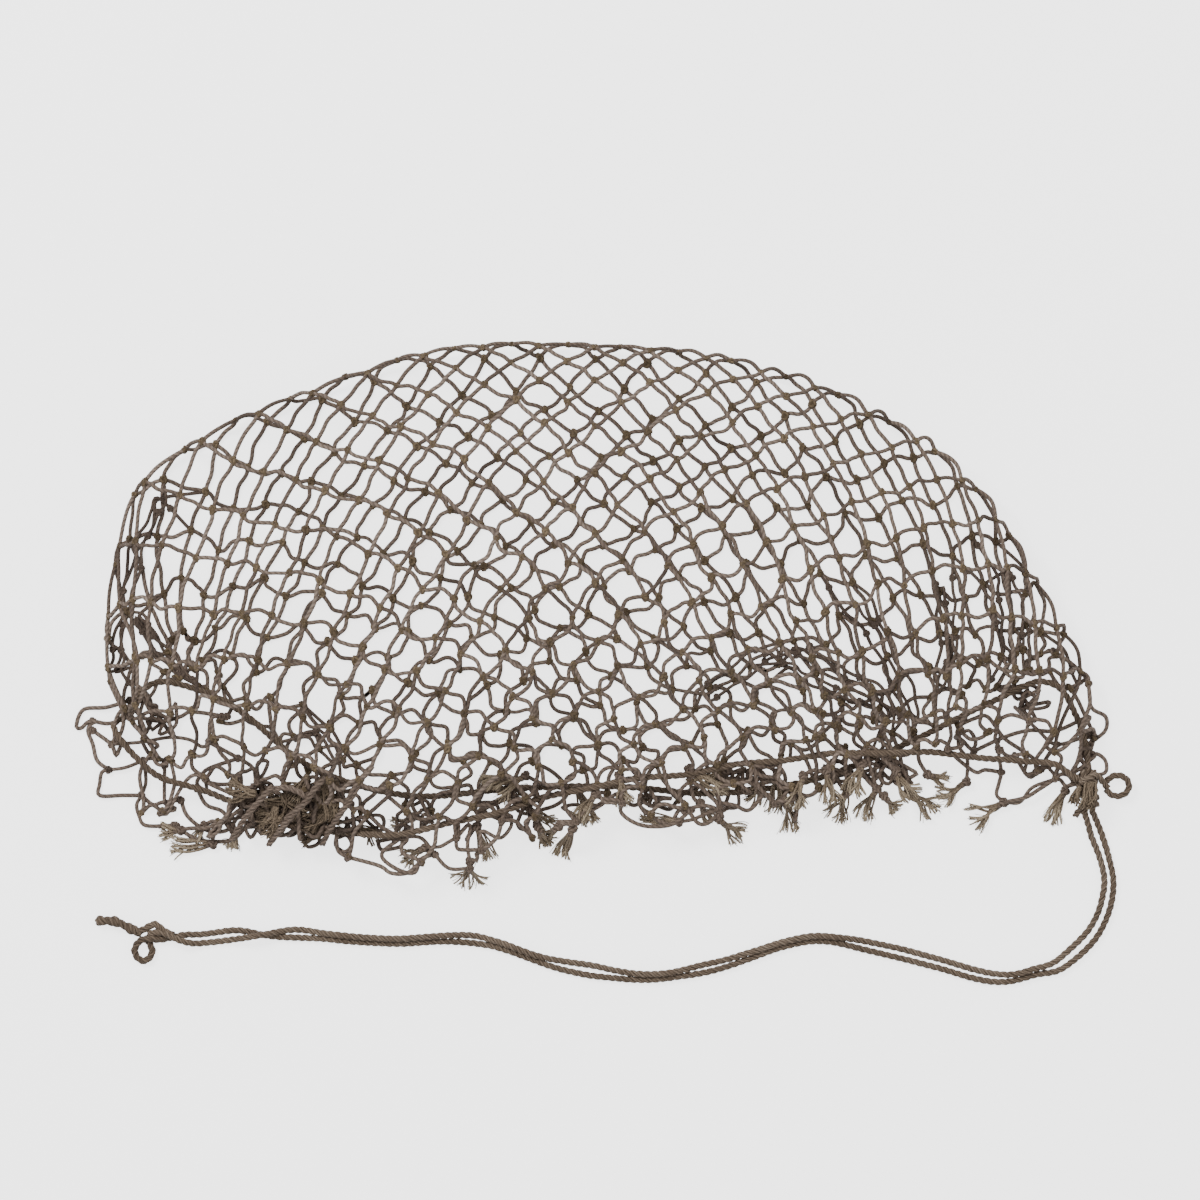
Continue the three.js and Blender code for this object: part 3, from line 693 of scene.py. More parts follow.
# %% The slack that bows them out
BAR_SPREAD = 0.05
LEAST_SPARE, MOST_SPARE, SPARE_MORE = 0.03, 0.3, 1.5
BOW_SIZE, BOW_UP, BEND_SIZE = 0.8, 0.5, 0.3
RIPPLE_THREE, RIPPLE_FOUR = 0.45, 0.25

length = BAR * (1 + BAR_SPREAD * chance.uniform(-1, 1, len(start)))
spare = length - distance_along(bars)[:, -1]
spare = np.clip(spare, LEAST_SPARE * gap, MOST_SPARE * gap + SPARE_MORE) * slackness
bow = (2 / math.pi) * np.sqrt(gap * spare)
flat_side = unit(np.cross(0.5 * (way_out[start] + way_out[end]), chord))
sway = chance.uniform(-1, 1, (3, len(start)))
side = flat_side * np.sign(sway[0])[:, None] + BOW_UP * way_out[start] * sway[1][:, None]
bars += np.sin(math.pi * t) * (BOW_SIZE * unit(side) * bow[:, None])[:, None]
bars += np.sin(2 * math.pi * t) * (flat_side * (BEND_SIZE * bow * sway[2])[:, None])[:, None]
ripple = chance.uniform(-1, 1, (2, len(start)))[..., None, None]
waves = RIPPLE_THREE * ripple[0] * np.sin(3 * math.pi * t) + RIPPLE_FOUR * ripple[1] * np.sin(4 * math.pi * t)
bars += waves * flat_side[:, None]
print("largest bow, mm:", round(float(bow.max()), 1))

# %% The bars along the edge of the crown
# They hang outwards in small arcs, clearly on the right and less on the left
EDGE_BOW = 2.2
BOW_ON_LEFT, BOW_MORE_ON_RIGHT = 0.3, 0.7
BOW_SHARES = (0.4, 1.2)
at_edge = np.abs(knot_j[start] + knot_j[end]) == 1
edge_bow = EDGE_BOW * at_edge * (BOW_ON_LEFT + BOW_MORE_ON_RIGHT * right_share(knot_u[start]))
edge_bow = edge_bow * chance.uniform(*BOW_SHARES, len(start))
edge_way = np.concatenate([-outward(knot_u[start], "crown"), np.zeros((len(start), 1))], axis=1)
bars += np.sin(math.pi * t) * (edge_way * edge_bow[:, None])[:, None]
bars[:, :, 2] = np.maximum(bars[:, :, 2], FLOOR)
print("bars:", len(bars), "mean length, mm:", round(float(distance_along(bars)[:, -1].mean()), 1))

# %% The two layers of netting
BAR_SIDES = 6
MIDDLE_TONE, TONE_SPREAD = 0.5, 0.16
upper_bar = knot_j[start] < 0
tone = np.clip(MIDDLE_TONE + TONE_SPREAD * chance.standard_normal(len(start)), 0, 1)


def netting(name, chosen):
    """The chosen bars as one piece."""
    bundle = Bundle()
    bundle.add(bars[chosen], 0.5 * TWINE, BAR_SIDES, tone[chosen])
    return bundle.mesh(name)


net_upper = netting("net_upper", upper_bar)
net_lower = netting("net_lower", ~upper_bar)

# %% [markdown]
# ## The knots of the net
#
# Each crossing is tied with a sheet bend, which shows as a small lump of wrapped twine
# about twice as thick as the bars. A full bend would take many more faces, and from a step
# away only its lumpy outline shows. A loop that goes three times through itself has the
# same outline, so one is laid at every crossing, turned to lie in the net.

# %% The lump at a crossing
KNOT_SIZE = 0.5
LOOP_POINTS = 22
LOOP_RISE = 1.2
turn = np.linspace(0, 2 * math.pi, LOOP_POINTS)
from_middle = 2 + np.cos(3 * turn)
loop_x, loop_y = from_middle * np.cos(2 * turn), from_middle * np.sin(2 * turn)
loop = np.stack([loop_x, loop_y, LOOP_RISE * np.sin(3 * turn)], axis=1) * KNOT_SIZE
print("lump, mm:", np.ptp(loop, axis=0).round(1).tolist())

# %% The knots of both layers
KNOT_WIDE, KNOT_TALL = 0.8, 1.15
KNOT_TWINE, KNOT_LOWEST = 0.78, 0.7
KNOT_TONE, KNOT_TONE_SPREAD = 0.34, 0.1
KNOT_SPIN = 0.5
KNOT_SIZES = (0.85, 1.12)


def tied_knots(name, chosen):
    """A small wrapped lump at each chosen crossing."""
    spin = chance.uniform(-KNOT_SPIN, KNOT_SPIN, len(chosen))[:, None]
    size = chance.uniform(*KNOT_SIZES, len(chosen))[:, None, None]
    a = way_u[chosen] * np.cos(spin) + way_row[chosen] * np.sin(spin)
    b = way_row[chosen] * np.cos(spin) - way_u[chosen] * np.sin(spin)
    shape = loop[None] * size
    paths = shape[..., :1] * a[:, None] * KNOT_WIDE + shape[..., 1:2] * b[:, None] * KNOT_TALL
    paths = paths + shape[..., 2:] * way_out[chosen][:, None]
    paths = knots[chosen][:, None] + paths
    paths[..., 2] += np.maximum(0, KNOT_LOWEST - paths[..., 2].min(axis=1))[:, None]
    tones = np.clip(KNOT_TONE + KNOT_TONE_SPREAD * chance.standard_normal(len(chosen)), 0, 1)
    bundle = Bundle()
    bundle.add(paths, KNOT_TWINE * size[..., 0], BAR_SIDES, tones)
    return bundle.mesh(name)


knots_upper = tied_knots("knots_upper", np.flatnonzero((knot_j <= 0) & tied))
knots_lower = tied_knots("knots_lower", np.flatnonzero((knot_j > 0) & tied))

# %% [markdown]
# ## The drawcord round the mouth
#
# The cord passes over and under the rim, about once in every mesh, all the way round the
# mouth. At the left end it turns back round the net's edge, and at the right both ends meet
# in a knot. A route picked by hand would drift off the net, so most of it is worked out from
# the form: it runs along the rim and swings out of the surface and into it. Beside both ends
# of the mouth it swings wider, and stays on one side for the last passes.

# %% Threading the cord
WEAVE = 1.7
WEAVE_AT_ENDS = 1.2
RIM_PASSES = 20
FIRST_NEAR, FIRST_FAR, LAST_PASS = 1, 4, RIM_PASSES - 2
OVER_BED = 0.1
CORD_TONE = 0.42


def threaded(x, row):
    """A point of the drawcord's route, x passes along the rim that lies at that row."""
    u = x / RIM_PASSES
    inside = np.clip(x, FIRST_NEAR if row == 0 else FIRST_FAR, LAST_PASS)
    at_ends = ease(abs(u - 0.5) * 10 - 3.6)
    swing = (WEAVE + WEAVE_AT_ENDS * at_ends) * np.cos(math.pi * inside)
    spot, level = np.array([u]), np.array([float(row)])
    _, _, out = surface_ways(spot, level)
    point = (surface(spot, level) + out * (1 if row == 0 else -1) * swing)[0]
    point[2] = max(point[2], 0.5 * ROPE + OVER_BED)
    return point


STEPS = np.arange(1, 2 * RIM_PASSES) / 2
DRAW_ROUTE = [[209.4, -67.9, 5.2], [208.9, -59, 4.4], [207.3, -51, 4.6], [204.4, -43.5, 6.6]]
DRAW_ROUTE += [threaded(x, ROWS) for x in STEPS[::-1]]
DRAW_ROUTE += [[-200, -33.5, 6.2], [-202.5, -38.5, 4.5], [-206.5, -43, 4.3], [-210.5, -46.5, 7]]
DRAW_ROUTE += [[-207.5, -52.5, 10.4], [-200, -61, 11.2], [-190, -69, 11.6]]
DRAW_ROUTE += [threaded(x, 0) for x in STEPS if x > 1.5]
DRAW_ROUTE += [[204.6, -70.4, 8.6]]
draw_line = smooth_line(DRAW_ROUTE, ROPE_STEP)
draw_bundle = Bundle()
laid_rope(draw_bundle, draw_line, CORD_TONE)
drawcord = draw_bundle.mesh("drawcord_rope")
print("drawcord, mm:", round(ROPE_STEP * len(draw_line)))

# %% [markdown]
# ## The knots in the cord
#
# At the right end of the mouth the two ends of the cord are bound together. Turns of
# the same cord wrap them, a small round loop sticks out on the right, and short ends point
# down. The far end of the tails has a knot, a small loop and a twisted stub. Their lines are
# given one by one, or worked out as a coil or a ring, and laid up as rope like the cord itself.

# %% Mouth knot
TURN_POINTS = 14
RING_POINTS = 18


def wrap(centre, radius, turns, length, tilt):
    """A close coil of cord round a line along y, with its turns leaning by the tilt."""
    t = np.linspace(0, turns, int(turns * TURN_POINTS))
    across, up = radius * np.cos(2 * math.pi * t), radius * np.sin(2 * math.pi * t)
    along = length * (t / turns - 0.5) + tilt * across
    return np.array(centre) + np.stack([across, along, up], axis=1)


def ring(centre, wide, tall, start, sweep, rise):
    """Part of an oval loop that lies flat, from one angle round by a sweep, in degrees."""
    t = np.radians(np.linspace(start, start + sweep, RING_POINTS))
    lift = rise * np.sin(np.linspace(0, math.pi, RING_POINTS))
    return np.array(centre) + np.stack([wide * np.cos(t), tall * np.sin(t), lift], axis=1)


MOUTH_LINES = [
    wrap((208.8, -72.5, 5.6), 3.6, 1.8, 6.5, 0.35),
    wrap((209.6, -77.0, 5.0), 3.3, 1.6, 5.0, -0.45),
    ring((222.0, -72.8, 3.0), 5.0, 4.5, 200, 320, 1.0),
    [[205, -72, 6], [207.5, -78, 8.6], [206, -82.5, 5], [203.8, -85.8, 2.4]],
    [[207, -66, 6], [208, -74, 6], [208, -80, 5], [207.7, -85, 4.4]],
    [[211.5, -66, 6], [211, -74, 7], [211, -80, 5.4], [211.3, -85, 4.4]],
    [[204, -69, 6], [207, -70.5, 9.5], [212, -68, 9], [215.5, -71, 5], [218, -74, 3]],
]
MOUTH_TONE, MOUTH_TONE_STEP = 0.4, 0.04
mouth_bundle = Bundle()
for k, line in enumerate(MOUTH_LINES):
    laid_rope(mouth_bundle, smooth_line(line, ROPE_STEP), MOUTH_TONE + MOUTH_TONE_STEP * k)
mouth_knot = mouth_bundle.mesh("mouth_knot_rope")

# %% Tail knot
TAIL_LINES = [
    [
        [-186, -137.8, 2.2], [-191.2, -138.2, 3.0], [-195.5, -138.6, 4.4], [-199.4, -139.6, 3.6],
        [-201.9, -143.6, 2.4], [-200.2, -147.5, 2.0], [-196.9, -148.2, 2.0], [-194.3, -144.9, 2.0],
        [-195.2, -141.2, 2.0], [-197, -138.6, 2.0],
    ],
    [
        [-185, -137.2, 4.2], [-189, -135.4, 4.6], [-192.8, -132.4, 5.0], [-196.5, -134.0, 4.6],
        [-201, -136.4, 3.4],
    ],
]
TAIL_ROPE = 1.08
TAIL_TONE, TAIL_TONE_STEP = 0.44, 0.03
tail_bundle = Bundle()
for k, line in enumerate(TAIL_LINES):
    tone_here = TAIL_TONE + TAIL_TONE_STEP * k
    laid_rope(tail_bundle, smooth_line(line, ROPE_STEP), tone_here, scale=TAIL_ROPE)
print("lines in the tail knot:", len(TAIL_LINES))

# %% [markdown]
# Beyond the tail knot a short stub of cord sticks out, thick and thin by turns. A plain tube
# with lumps would lose the twist. So it is laid up like the cord, from strands whose
# thickness changes along the way: three soft lumps, and a tip that closes like a ball.

# %% The stub beyond the tail knot
STUB = [
    [-199, -136.8, 3.8], [-201, -135.6, 3.8], [-203.5, -134.4, 3.8], [-207, -132.6, 3.4],
    [-211, -131.2, 3.4], [-214.6, -131.0, 3.0], [-218.4, -131.3, 2.4],
]
STUB_SIZE = 1.12
LUMPS = (4.8, 12.8, 19.5)
LUMP_MORE, LUMP_REACH = 0.5, 2.2
TIP, TIP_SPARE, TIP_LEAST = 1.6, 0.6, 0.1
STUB_TONE, STUB_TONE_STEP = 0.42, 0.04

stub = smooth_line(STUB, 0.5 * ROPE_STEP)
stub_side, stub_up = (way[0] for way in crosswise(stub[None]))
stub_at = distance_along(stub[None])[0][:, None]
fat = STUB_SIZE + sum(LUMP_MORE * np.exp(-((stub_at - lump) / LUMP_REACH) ** 2) for lump in LUMPS)
fat = fat * np.sqrt(np.clip((stub_at[-1] + TIP_SPARE - stub_at) / TIP, TIP_LEAST, 1))
for k in range(3):
    turned = 2 * math.pi * (stub_at / LAY_LENGTH + k / 3)
    strand = stub + LAY_RADIUS * fat * (np.cos(turned) * stub_side + np.sin(turned) * stub_up)
    thick = STRAND_RADIUS * fat[:, 0][None]
    tail_bundle.add(strand[None], thick, STRAND_SIDES + 1, STUB_TONE + STUB_TONE_STEP * k)
tail_knot = tail_bundle.mesh("tail_knot_rope")

# %% [markdown]
# ## Frayed ends
#
# Where the netting was cut and tied off, the twine has come undone into soft fibres. Each
# end has a tight little knot, then a fan of yarns that opens and curls. A particle system
# could grow the hair, but the export would lose it, and a fan has to open the way that the
# real one does. So a table gives each root, the way it points, its length and how wide it
# opens, and only the single yarns and fibres are scattered by chance.

# %% Where the frayed ends are
# Each place is x, y, the way it points in degrees, its length, and its spread in degrees
FRAYS = [
    [-182, -92, -174, 9, 50], [-168, -98, -173, 17, 22], [-159, -92, -90, 8, 40], [-82, -86, -145, 10, 50],
    [-76, -99, -153, 12, 45], [-57, -105, -88, 12, 105], [-54, -90, -65, 15, 30], [-50, -70, -20, 18, 30],
    [-32, -82, -38, 13, 45], [-28, -90, -61, 10, 40], [-13, -91, -112, 13, 34], [-11, -74, -65, 16, 40],
    [33, -88, 178, 16, 20], [-19, -90, -140, 10, 40], [54, -65, -151, 18, 34], [50, -87, -40, 13, 50],
    [70, -70, -127, 12, 50], [75, -67, -87, 17, 34], [78, -79, -65, 14, 34], [79, -73, -47, 10, 50],
    [105, -73, -100, 15, 46], [118, -74, -117, 14, 46], [121, -77, -47, 9, 50], [131, -76, -27, 15, 44],
    [140, -68, -21, 9, 50], [157, -71, -141, 14, 60], [173, -80, -145, 16, 50], [199.5, -75, -114, 15, 36],
    [42, -80, -60, 9, 44], [-172, -90, -120, 8, 40],
]
# Ends that lie on top of the drawcord: the same columns
LAID_ON = [
    [-33, -68, -145, 15, 44], [7, -68, -72, 13, 40], [37, -65, -32, 18, 22], [-3, -76, -127, 13, 40],
    [-43, -68, -153, 9, 44], [96, -66, -75, 14, 40], [112, -63, -115, 14, 40], [86, -68, -100, 14, 40],
    [126, -66, -60, 14, 40],
]
# Ends inside the tangle, then ends that lie on the mouth knot: the same columns and a height
MATTED = [
    [-147, -76, 175, 14, 60, 22], [-131, -78, 183, 15, 40, 17.5], [-126, -66, -110, 14, 40, 22],
    [-120, -70, -73, 16, 34, 21], [-124, -69, -140, 14, 44, 20], [-115, -84, -160, 14, 50, 18],
    [-106, -90, -20, 11, 60, 12], [-134, -86, -170, 14, 60, 17], [-112, -76, -120, 13, 50, 19],
    [-140, -80, -100, 12, 60, 18], [-128, -76, -20, 13, 50, 19], [-118, -92, -165, 12, 50, 12],
    [-138, -74, -60, 14, 60, 19], [-150, -86, 20, 13, 50, 14], [-112, -70, -150, 13, 60, 22],
    [-126, -86, 10, 13, 60, 16], [-120, -82, 100, 12, 60, 16], [-135, -92, 40, 13, 60, 12],
    [211.4, -69.5, -98, 13, 26, 12.5], [208.5, -70.0, -88, 11, 30, 12], [206.0, -72.0, -112, 9, 40, 10],
]
print("frayed ends:", len(FRAYS), "free,", len(LAID_ON), "on the cord,", len(MATTED), "matted")

# %% One frayed end
PLIES = 3
YARNS = 15
YARN_RADIUS, YARN_THINS, YARN_SIDES = 0.46, 0.25, 5
YARN_LENGTHS = (0.86, 1.0)
RING_RADIUS = 0.75
FAN_SPREAD, FAN_OPENS = 0.10, 1.7
BEND, BEND_SPREAD = 0.5, 0.22
CURL, CURL_WAVES, CURL_BY_FAN = 0.25, 5, 9
TIPS_REST, TIPS_SINK = (0.7, 2.8), 1.3
FIBRES_PER_YARN = 2
FIBRE_RADIUS, FIBRE_THINS, FIBRE_SIDES = 0.2, 0.3, 3
FIBRE_AWAY, FIBRE_ROUGH, FIBRE_PARTS = [0.7, 0.7, 0.4], 0.06, 0.3
FRAY_POINTS = 9
YARN_LOWEST, FIBRE_LOWEST = 0.5, 0.2
ROOT_PALE, TIP_PALE, PALE_SPREAD, FIBRE_PALER = 0.3, 0.95, 0.12, 0.15


def brush(row, z, sink):
    """The yarns of one end, in three plies that part and curl a little at the tips."""
    x, y, way, reach, spread = row
    way = math.radians(way)
    share = np.linspace(0, 1, FRAY_POINTS)[None]
    ply = np.repeat(np.linspace(-0.5, 0.5, PLIES), YARNS // PLIES)
    fan = (np.radians(spread) * (ply + FAN_SPREAD * chance.standard_normal(YARNS)))[:, None]
    bend = chance.uniform(-BEND, BEND) + BEND_SPREAD * chance.standard_normal((YARNS, 1))
    curl = CURL * np.sin(CURL_WAVES * share + CURL_BY_FAN * fan)
    turned = way + fan * ease(share * FAN_OPENS) + bend * share**2 + curl
    step = reach * chance.uniform(*YARN_LENGTHS, YARNS)[:, None] / (FRAY_POINTS - 1)
    ring = 2 * math.pi * chance.uniform(0, 1, (YARNS, 1))
    px = x - math.sin(way) * RING_RADIUS * np.cos(ring) + np.cumsum(np.cos(turned) * step, axis=1)
    py = y + math.cos(way) * RING_RADIUS * np.cos(ring) + np.cumsum(np.sin(turned) * step, axis=1)
    low = sink * z + chance.uniform(*TIPS_REST, (YARNS, 1))
    pz = z + RING_RADIUS * np.sin(ring) + (low - z) * ease(share * TIPS_SINK)
    pz = np.maximum(pz, YARN_LOWEST)
    return np.stack([px, py, pz], axis=2)


def frayed_end(bundle, row, z, sink, palest=TIP_PALE):
    """A brush of yarns from one root, each with fibres that come off it towards the tip."""
    yarns = brush(row, z, sink)
    share = np.linspace(0, 1, FRAY_POINTS)[None]
    pale = ROOT_PALE + (palest - ROOT_PALE) * share + PALE_SPREAD * chance.standard_normal((YARNS, 1))
    bundle.add(yarns, YARN_RADIUS * (1 - YARN_THINS * share**2), YARN_SIDES, np.clip(pale, 0, 1))
    apart = ease((share - FIBRE_PARTS) / (1 - FIBRE_PARTS))[..., None]
    for _ in range(FIBRES_PER_YARN):
        away = chance.standard_normal((YARNS, 1, 3)) * FIBRE_AWAY * apart
        fibres = yarns + away + FIBRE_ROUGH * np.cumsum(chance.standard_normal(yarns.shape), axis=1)
        fibres[..., 2] = np.maximum(fibres[..., 2], FIBRE_LOWEST)
        thin = FIBRE_RADIUS * (1 - FIBRE_THINS * share)
        bundle.add(fibres, thin, FIBRE_SIDES, np.clip(pale + FIBRE_PALER, 0, 1))


print("yarns in one end:", YARNS, "fibres:", YARNS * FIBRES_PER_YARN)

# %% All frayed ends
LEAST_ROOT = 2.4
FREE_LIFT, FREE_SINK = -1.0, 0.0
LAID_LIFT, LAID_SINK = 4.5, 0.75
MATTED_SINK = 0.8
PALEST_IN_TANGLE, PALEST_AT_KNOT = 0.35, 0.48


def rim_height(x):
    """How high the near hem hangs over the surface, at that place along the mouth."""
    u = np.interp(x, SECTIONS[:, 1], AT)
    return float(section(np.array([u]), "nearHemZ")[0])


fray_bundle, heads = Bundle(), []
for table, lift, sink in ((FRAYS, FREE_LIFT, FREE_SINK), (LAID_ON, LAID_LIFT, LAID_SINK)):
    for row in table:
        z = max(LEAST_ROOT, rim_height(row[0]) + lift)
        frayed_end(fray_bundle, row, z, sink)
        heads.append((row[0], row[1], z, math.radians(row[2])))
for *row, z in MATTED:
    palest = PALEST_IN_TANGLE if row[0] < 0 else PALEST_AT_KNOT
    frayed_end(fray_bundle, row, z, MATTED_SINK, palest)
frays = fray_bundle.mesh("frayed_fibres")

# %% [markdown]
# A frayed end does not start in the air: its twine comes from a knot of the hem, and was tied
# once more before it fell apart. So each free end gets a lump like those of the net, a short
# neck of two strands, and a strand that leads back to the nearest knot behind it. The matted
# ends need none of these, as they lie inside the tangle or on the cord's knot.

# %% Tied heads of the frayed ends
HEAD_WIDE, HEAD_TALL, HEAD_TWINE, HEAD_TONE = 1.2, 1.1, 0.75, 0.3
NECK_FROM, NECK_TO, NECK_STEP = -0.5, 3.2, 0.8
NECK_LAY, NECK_ROPE, NECK_TONE = 5, 0.95, 0.45
BEHIND = 9
WANDER, WANDERS_AT = 1.6, (0.35, 0.7)
TIE_TONE = 0.42

head_bundle = Bundle()
hem_knots = knots[((knot_row <= 0) | (knot_row >= ROWS)) & tied]
for x, y, z, way in heads:
    spot = np.array([x, y, z])
    ahead = np.array([math.cos(way), math.sin(way), 0])
    beside = np.array([-ahead[1], ahead[0], 0])
    lump = loop[:, :1] * beside * HEAD_WIDE + loop[:, 1:2] * ahead * HEAD_TALL
    lump = lump + loop[:, 2:] * np.array([0, 0, HEAD_WIDE])
    head_bundle.add((lump + spot)[None], HEAD_TWINE, BAR_SIDES, HEAD_TONE)
    neck = spot + np.outer(np.linspace(NECK_FROM, NECK_TO, 5), ahead)
    neck = smooth_line(neck, NECK_STEP)
    laid_rope(head_bundle, neck, NECK_TONE, lay=NECK_LAY, strands=2, scale=NECK_ROPE)
    tied_to = hem_knots[np.argmin(np.linalg.norm(hem_knots - (spot - BEHIND * ahead), axis=1))]
    between = [spot + (tied_to - spot) * k + chance.uniform(-WANDER, WANDER, 3) for k in WANDERS_AT]
    line = smooth_line([spot, *between, tied_to], ROPE_STEP)
    line[:, 2] = np.maximum(line[:, 2], FLOOR)
    head_bundle.add(line[None], 0.5 * TWINE, BAR_SIDES, TIE_TONE)
fray_heads = head_bundle.mesh("frayed_heads")

# %% [markdown]
# ## The tangle and the loose loops
#
# Left of the middle a bunch of spare twine lies over the drawcord, and short loops of twine
# hang out all along the hem. Nobody could follow the real strands, but the strong lines in
# the picture can be placed: five strands are listed. The rest are short closed curls.
# Each is a random walk that is drawn back to the middle of the tangle, so that it stays a
# loose lump, and it is drawn from a seeded list, so that it never changes.

# %% Strands of the tangle given one by one
TANGLE_LINES = [
    [[-159.5, -96, 12.5], [-153.7, -86.6, 18], [-145, -76.5, 23], [-141, -72.5, 24]],
    [
        [-143.7, -98, 12.5], [-138, -91, 18], [-132, -83.7, 23.5], [-126.5, -78.5, 25.5],
        [-122, -72, 26], [-116, -67, 26],
    ],
    [
        [-120.7, -98, 11.5], [-117, -91, 16], [-112, -83.7, 21.5], [-107, -76.5, 25.5],
        [-103.5, -70, 28], [-98.6, -63.6, 29],
    ],
    [[-142, -74, 23], [-136, -73, 23.5], [-130, -75, 24], [-126, -78, 24]],
    [[-117, -91, 14.5], [-110, -92, 12.5], [-103, -93, 11], [-96, -94, 10]],
]
TANGLE_LAY, TANGLE_ROPE = 11, 0.94
TANGLE_TONE, TANGLE_TONE_STEP = 0.5, 0.03
tangle_bundle = Bundle()
for k, line in enumerate(TANGLE_LINES):
    line, tone_here = smooth_line(line, ROPE_STEP), TANGLE_TONE + TANGLE_TONE_STEP * k
    laid_rope(tangle_bundle, line, tone_here, lay=TANGLE_LAY, scale=TANGLE_ROPE)
print("strands placed by hand:", len(TANGLE_LINES))

# %% Curls of the tangle
HOMING, HOME_SHARE, TURNING = 8, 0.5, 0.8
FIRST_WAY, NEXT_WAY = [1, 1, 0.3], [1, 1, 0.4]
START_SHARE, CLOSES_WITHIN = 0.8, 0.8
CURL_TONES = (0.25, 0.6)


def curls(bundle, count, middle, size, steps, stride):
    """Short closed curls of twine, each a slow random walk that stays inside an oval space."""
    middle, size = np.array(middle, float), np.array(size, float)
    for _ in range(count):
        here = middle + size * chance.uniform(-START_SHARE, START_SHARE, 3)
        way = unit(chance.standard_normal(3) * FIRST_WAY)
        line = [here]
        for _ in range(steps):
            home = (middle - here) / size**2 * HOMING
            way = unit(way + TURNING * chance.standard_normal(3) * NEXT_WAY + HOME_SHARE * home)
            here = here + way * stride
            line.append(np.array([here[0], here[1], max(here[2], FLOOR)]))
        line.append(line[0] + chance.uniform(-CLOSES_WITHIN, CLOSES_WITHIN, 3))
        line = smooth_line(line, ROPE_STEP)
        line[:, 2] = np.maximum(line[:, 2], FLOOR)
        bundle.add(line[None], 0.5 * TWINE, BAR_SIDES, float(chance.uniform(*CURL_TONES)))


# Each call gives how many, the middle, the reach, the steps of one curl and the length of a step
curls(tangle_bundle, 26, (-130, -80, 13), (21, 10, 6), 6, 5.5)
curls(tangle_bundle, 11, (-152, -84, 9), (16, 8, 5), 5, 5.5)
tangle = tangle_bundle.mesh("tangle_twine")

# %% Loose loops along the hem
# Each place is x, y, z, reach in x and y, and how many curls
LOOPS = [
    [-118, -92, 5, 12, 5, 4], [-86, -94, 6, 18, 6, 4], [-60, -84, 9, 18, 8, 4], [-25, -80, 9, 18, 7, 3],
    [15, -78, 9, 18, 6, 2], [60, -72, 9, 20, 5, 5], [100, -68, 9, 18, 6, 8], [128, -66, 7, 14, 7, 8],
    [-186, -42, 4, 12, 8, 4], [184, -34, 4, 14, 6, 5], [207, -60, 4, 3, 6, 2],
]
LOOP_TALL, LOOP_STEPS, LOOP_STRIDE = 4, 4, 4.6
loop_bundle = Bundle()
for x, y, z, wide, deep, count in LOOPS:
    curls(loop_bundle, count, (x, y, z), (wide, deep, LOOP_TALL), LOOP_STEPS, LOOP_STRIDE)
print("curls along the hem:", sum(place[-1] for place in LOOPS))

# %% Slack arcs between knots of the hem
ARC_SHARE, ARC_LONGEST, ARC_POINTS = 0.6, 17, 16
NEXT_KNOTS = (1, 4)
SAG_SIDE, SAG_OUT, SAG_DOWN = 2, (2, 8), 3.0
ARC_TONES = (0.35, 0.6)
near_hem = knots[(knot_row <= -HEM_ROWS + 1) & tied]
near_hem = near_hem[np.argsort(near_hem[:, 0])]
t = np.linspace(0, 1, ARC_POINTS)[:, None]
for k in range(len(near_hem) - 3):
    if chance.uniform() > ARC_SHARE:
        continue
    here, there = near_hem[k], near_hem[k + int(chance.integers(*NEXT_KNOTS))]
    if np.linalg.norm(there - here) > ARC_LONGEST:
        continue
    sag = np.array([chance.uniform(-SAG_SIDE, SAG_SIDE), -chance.uniform(*SAG_OUT), -SAG_DOWN])
    arc = here + (there - here) * t + np.sin(math.pi * t) * sag
    arc = arc + np.sin(3 * math.pi * t) * chance.uniform(-1, 1, 3)
    arc[:, 2] = np.maximum(arc[:, 2], FLOOR)
    loop_bundle.add(arc[None], 0.5 * TWINE, BAR_SIDES, float(chance.uniform(*ARC_TONES)))
loops = loop_bundle.mesh("hem_loops")

# %% [markdown]
# ## Pleats
#
# Where the cord has drawn the mouth in, the net runs together into pleats: bars that lie
# side by side and nearly parallel. A settling grid does not find them by itself. So each
# pleat is a listed line in the lower layer with a count of strands, that are spread
# wide at its first point and closer at its last. Both ends of every strand are tied to
# knots of the net, so that none of them ends in the open.

# %% Where the pleats are
# Each pleat is its points in plan, the number of strands, and the spread at the start and end
PLEATS = [
    ([(171, 26), (176, 5), (178, -14), (183, -28)], 5, 24, 14),
    ([(149, 20), (147, -1), (149, -18), (143, -38)], 3, 13, 6),
    ([(-203, 7), (-194, -10), (-184, -21), (-179, -31)], 4, 7, 3),
    ([(-187, 57), (-201, 27), (-207, -1), (-210, -31)], 3, 7, 5),
    ([(76, -14), (94, -23), (115, -34), (128, -51)], 5, 18, 10),
    ([(38, -36), (59, -24), (81, -10)], 3, 8, 12),
    ([(106, 12), (119, -10), (130, -31), (134, -51)], 3, 14, 8),
    ([(-130, -44), (-117, -57), (-109, -70)], 4, 15, 8),
    ([(193, -8), (200, -22), (203, -38)], 2, 9, 6),
]
print("pleats:", len(PLEATS), "strands in them:", sum(count for _, count, _, _ in PLEATS))

# %% Pleats in the lower layer
PLEAT_HEIGHT, PLEAT_WAVE_UP, PLEAT_START = 2.4, 1.3, 2.2
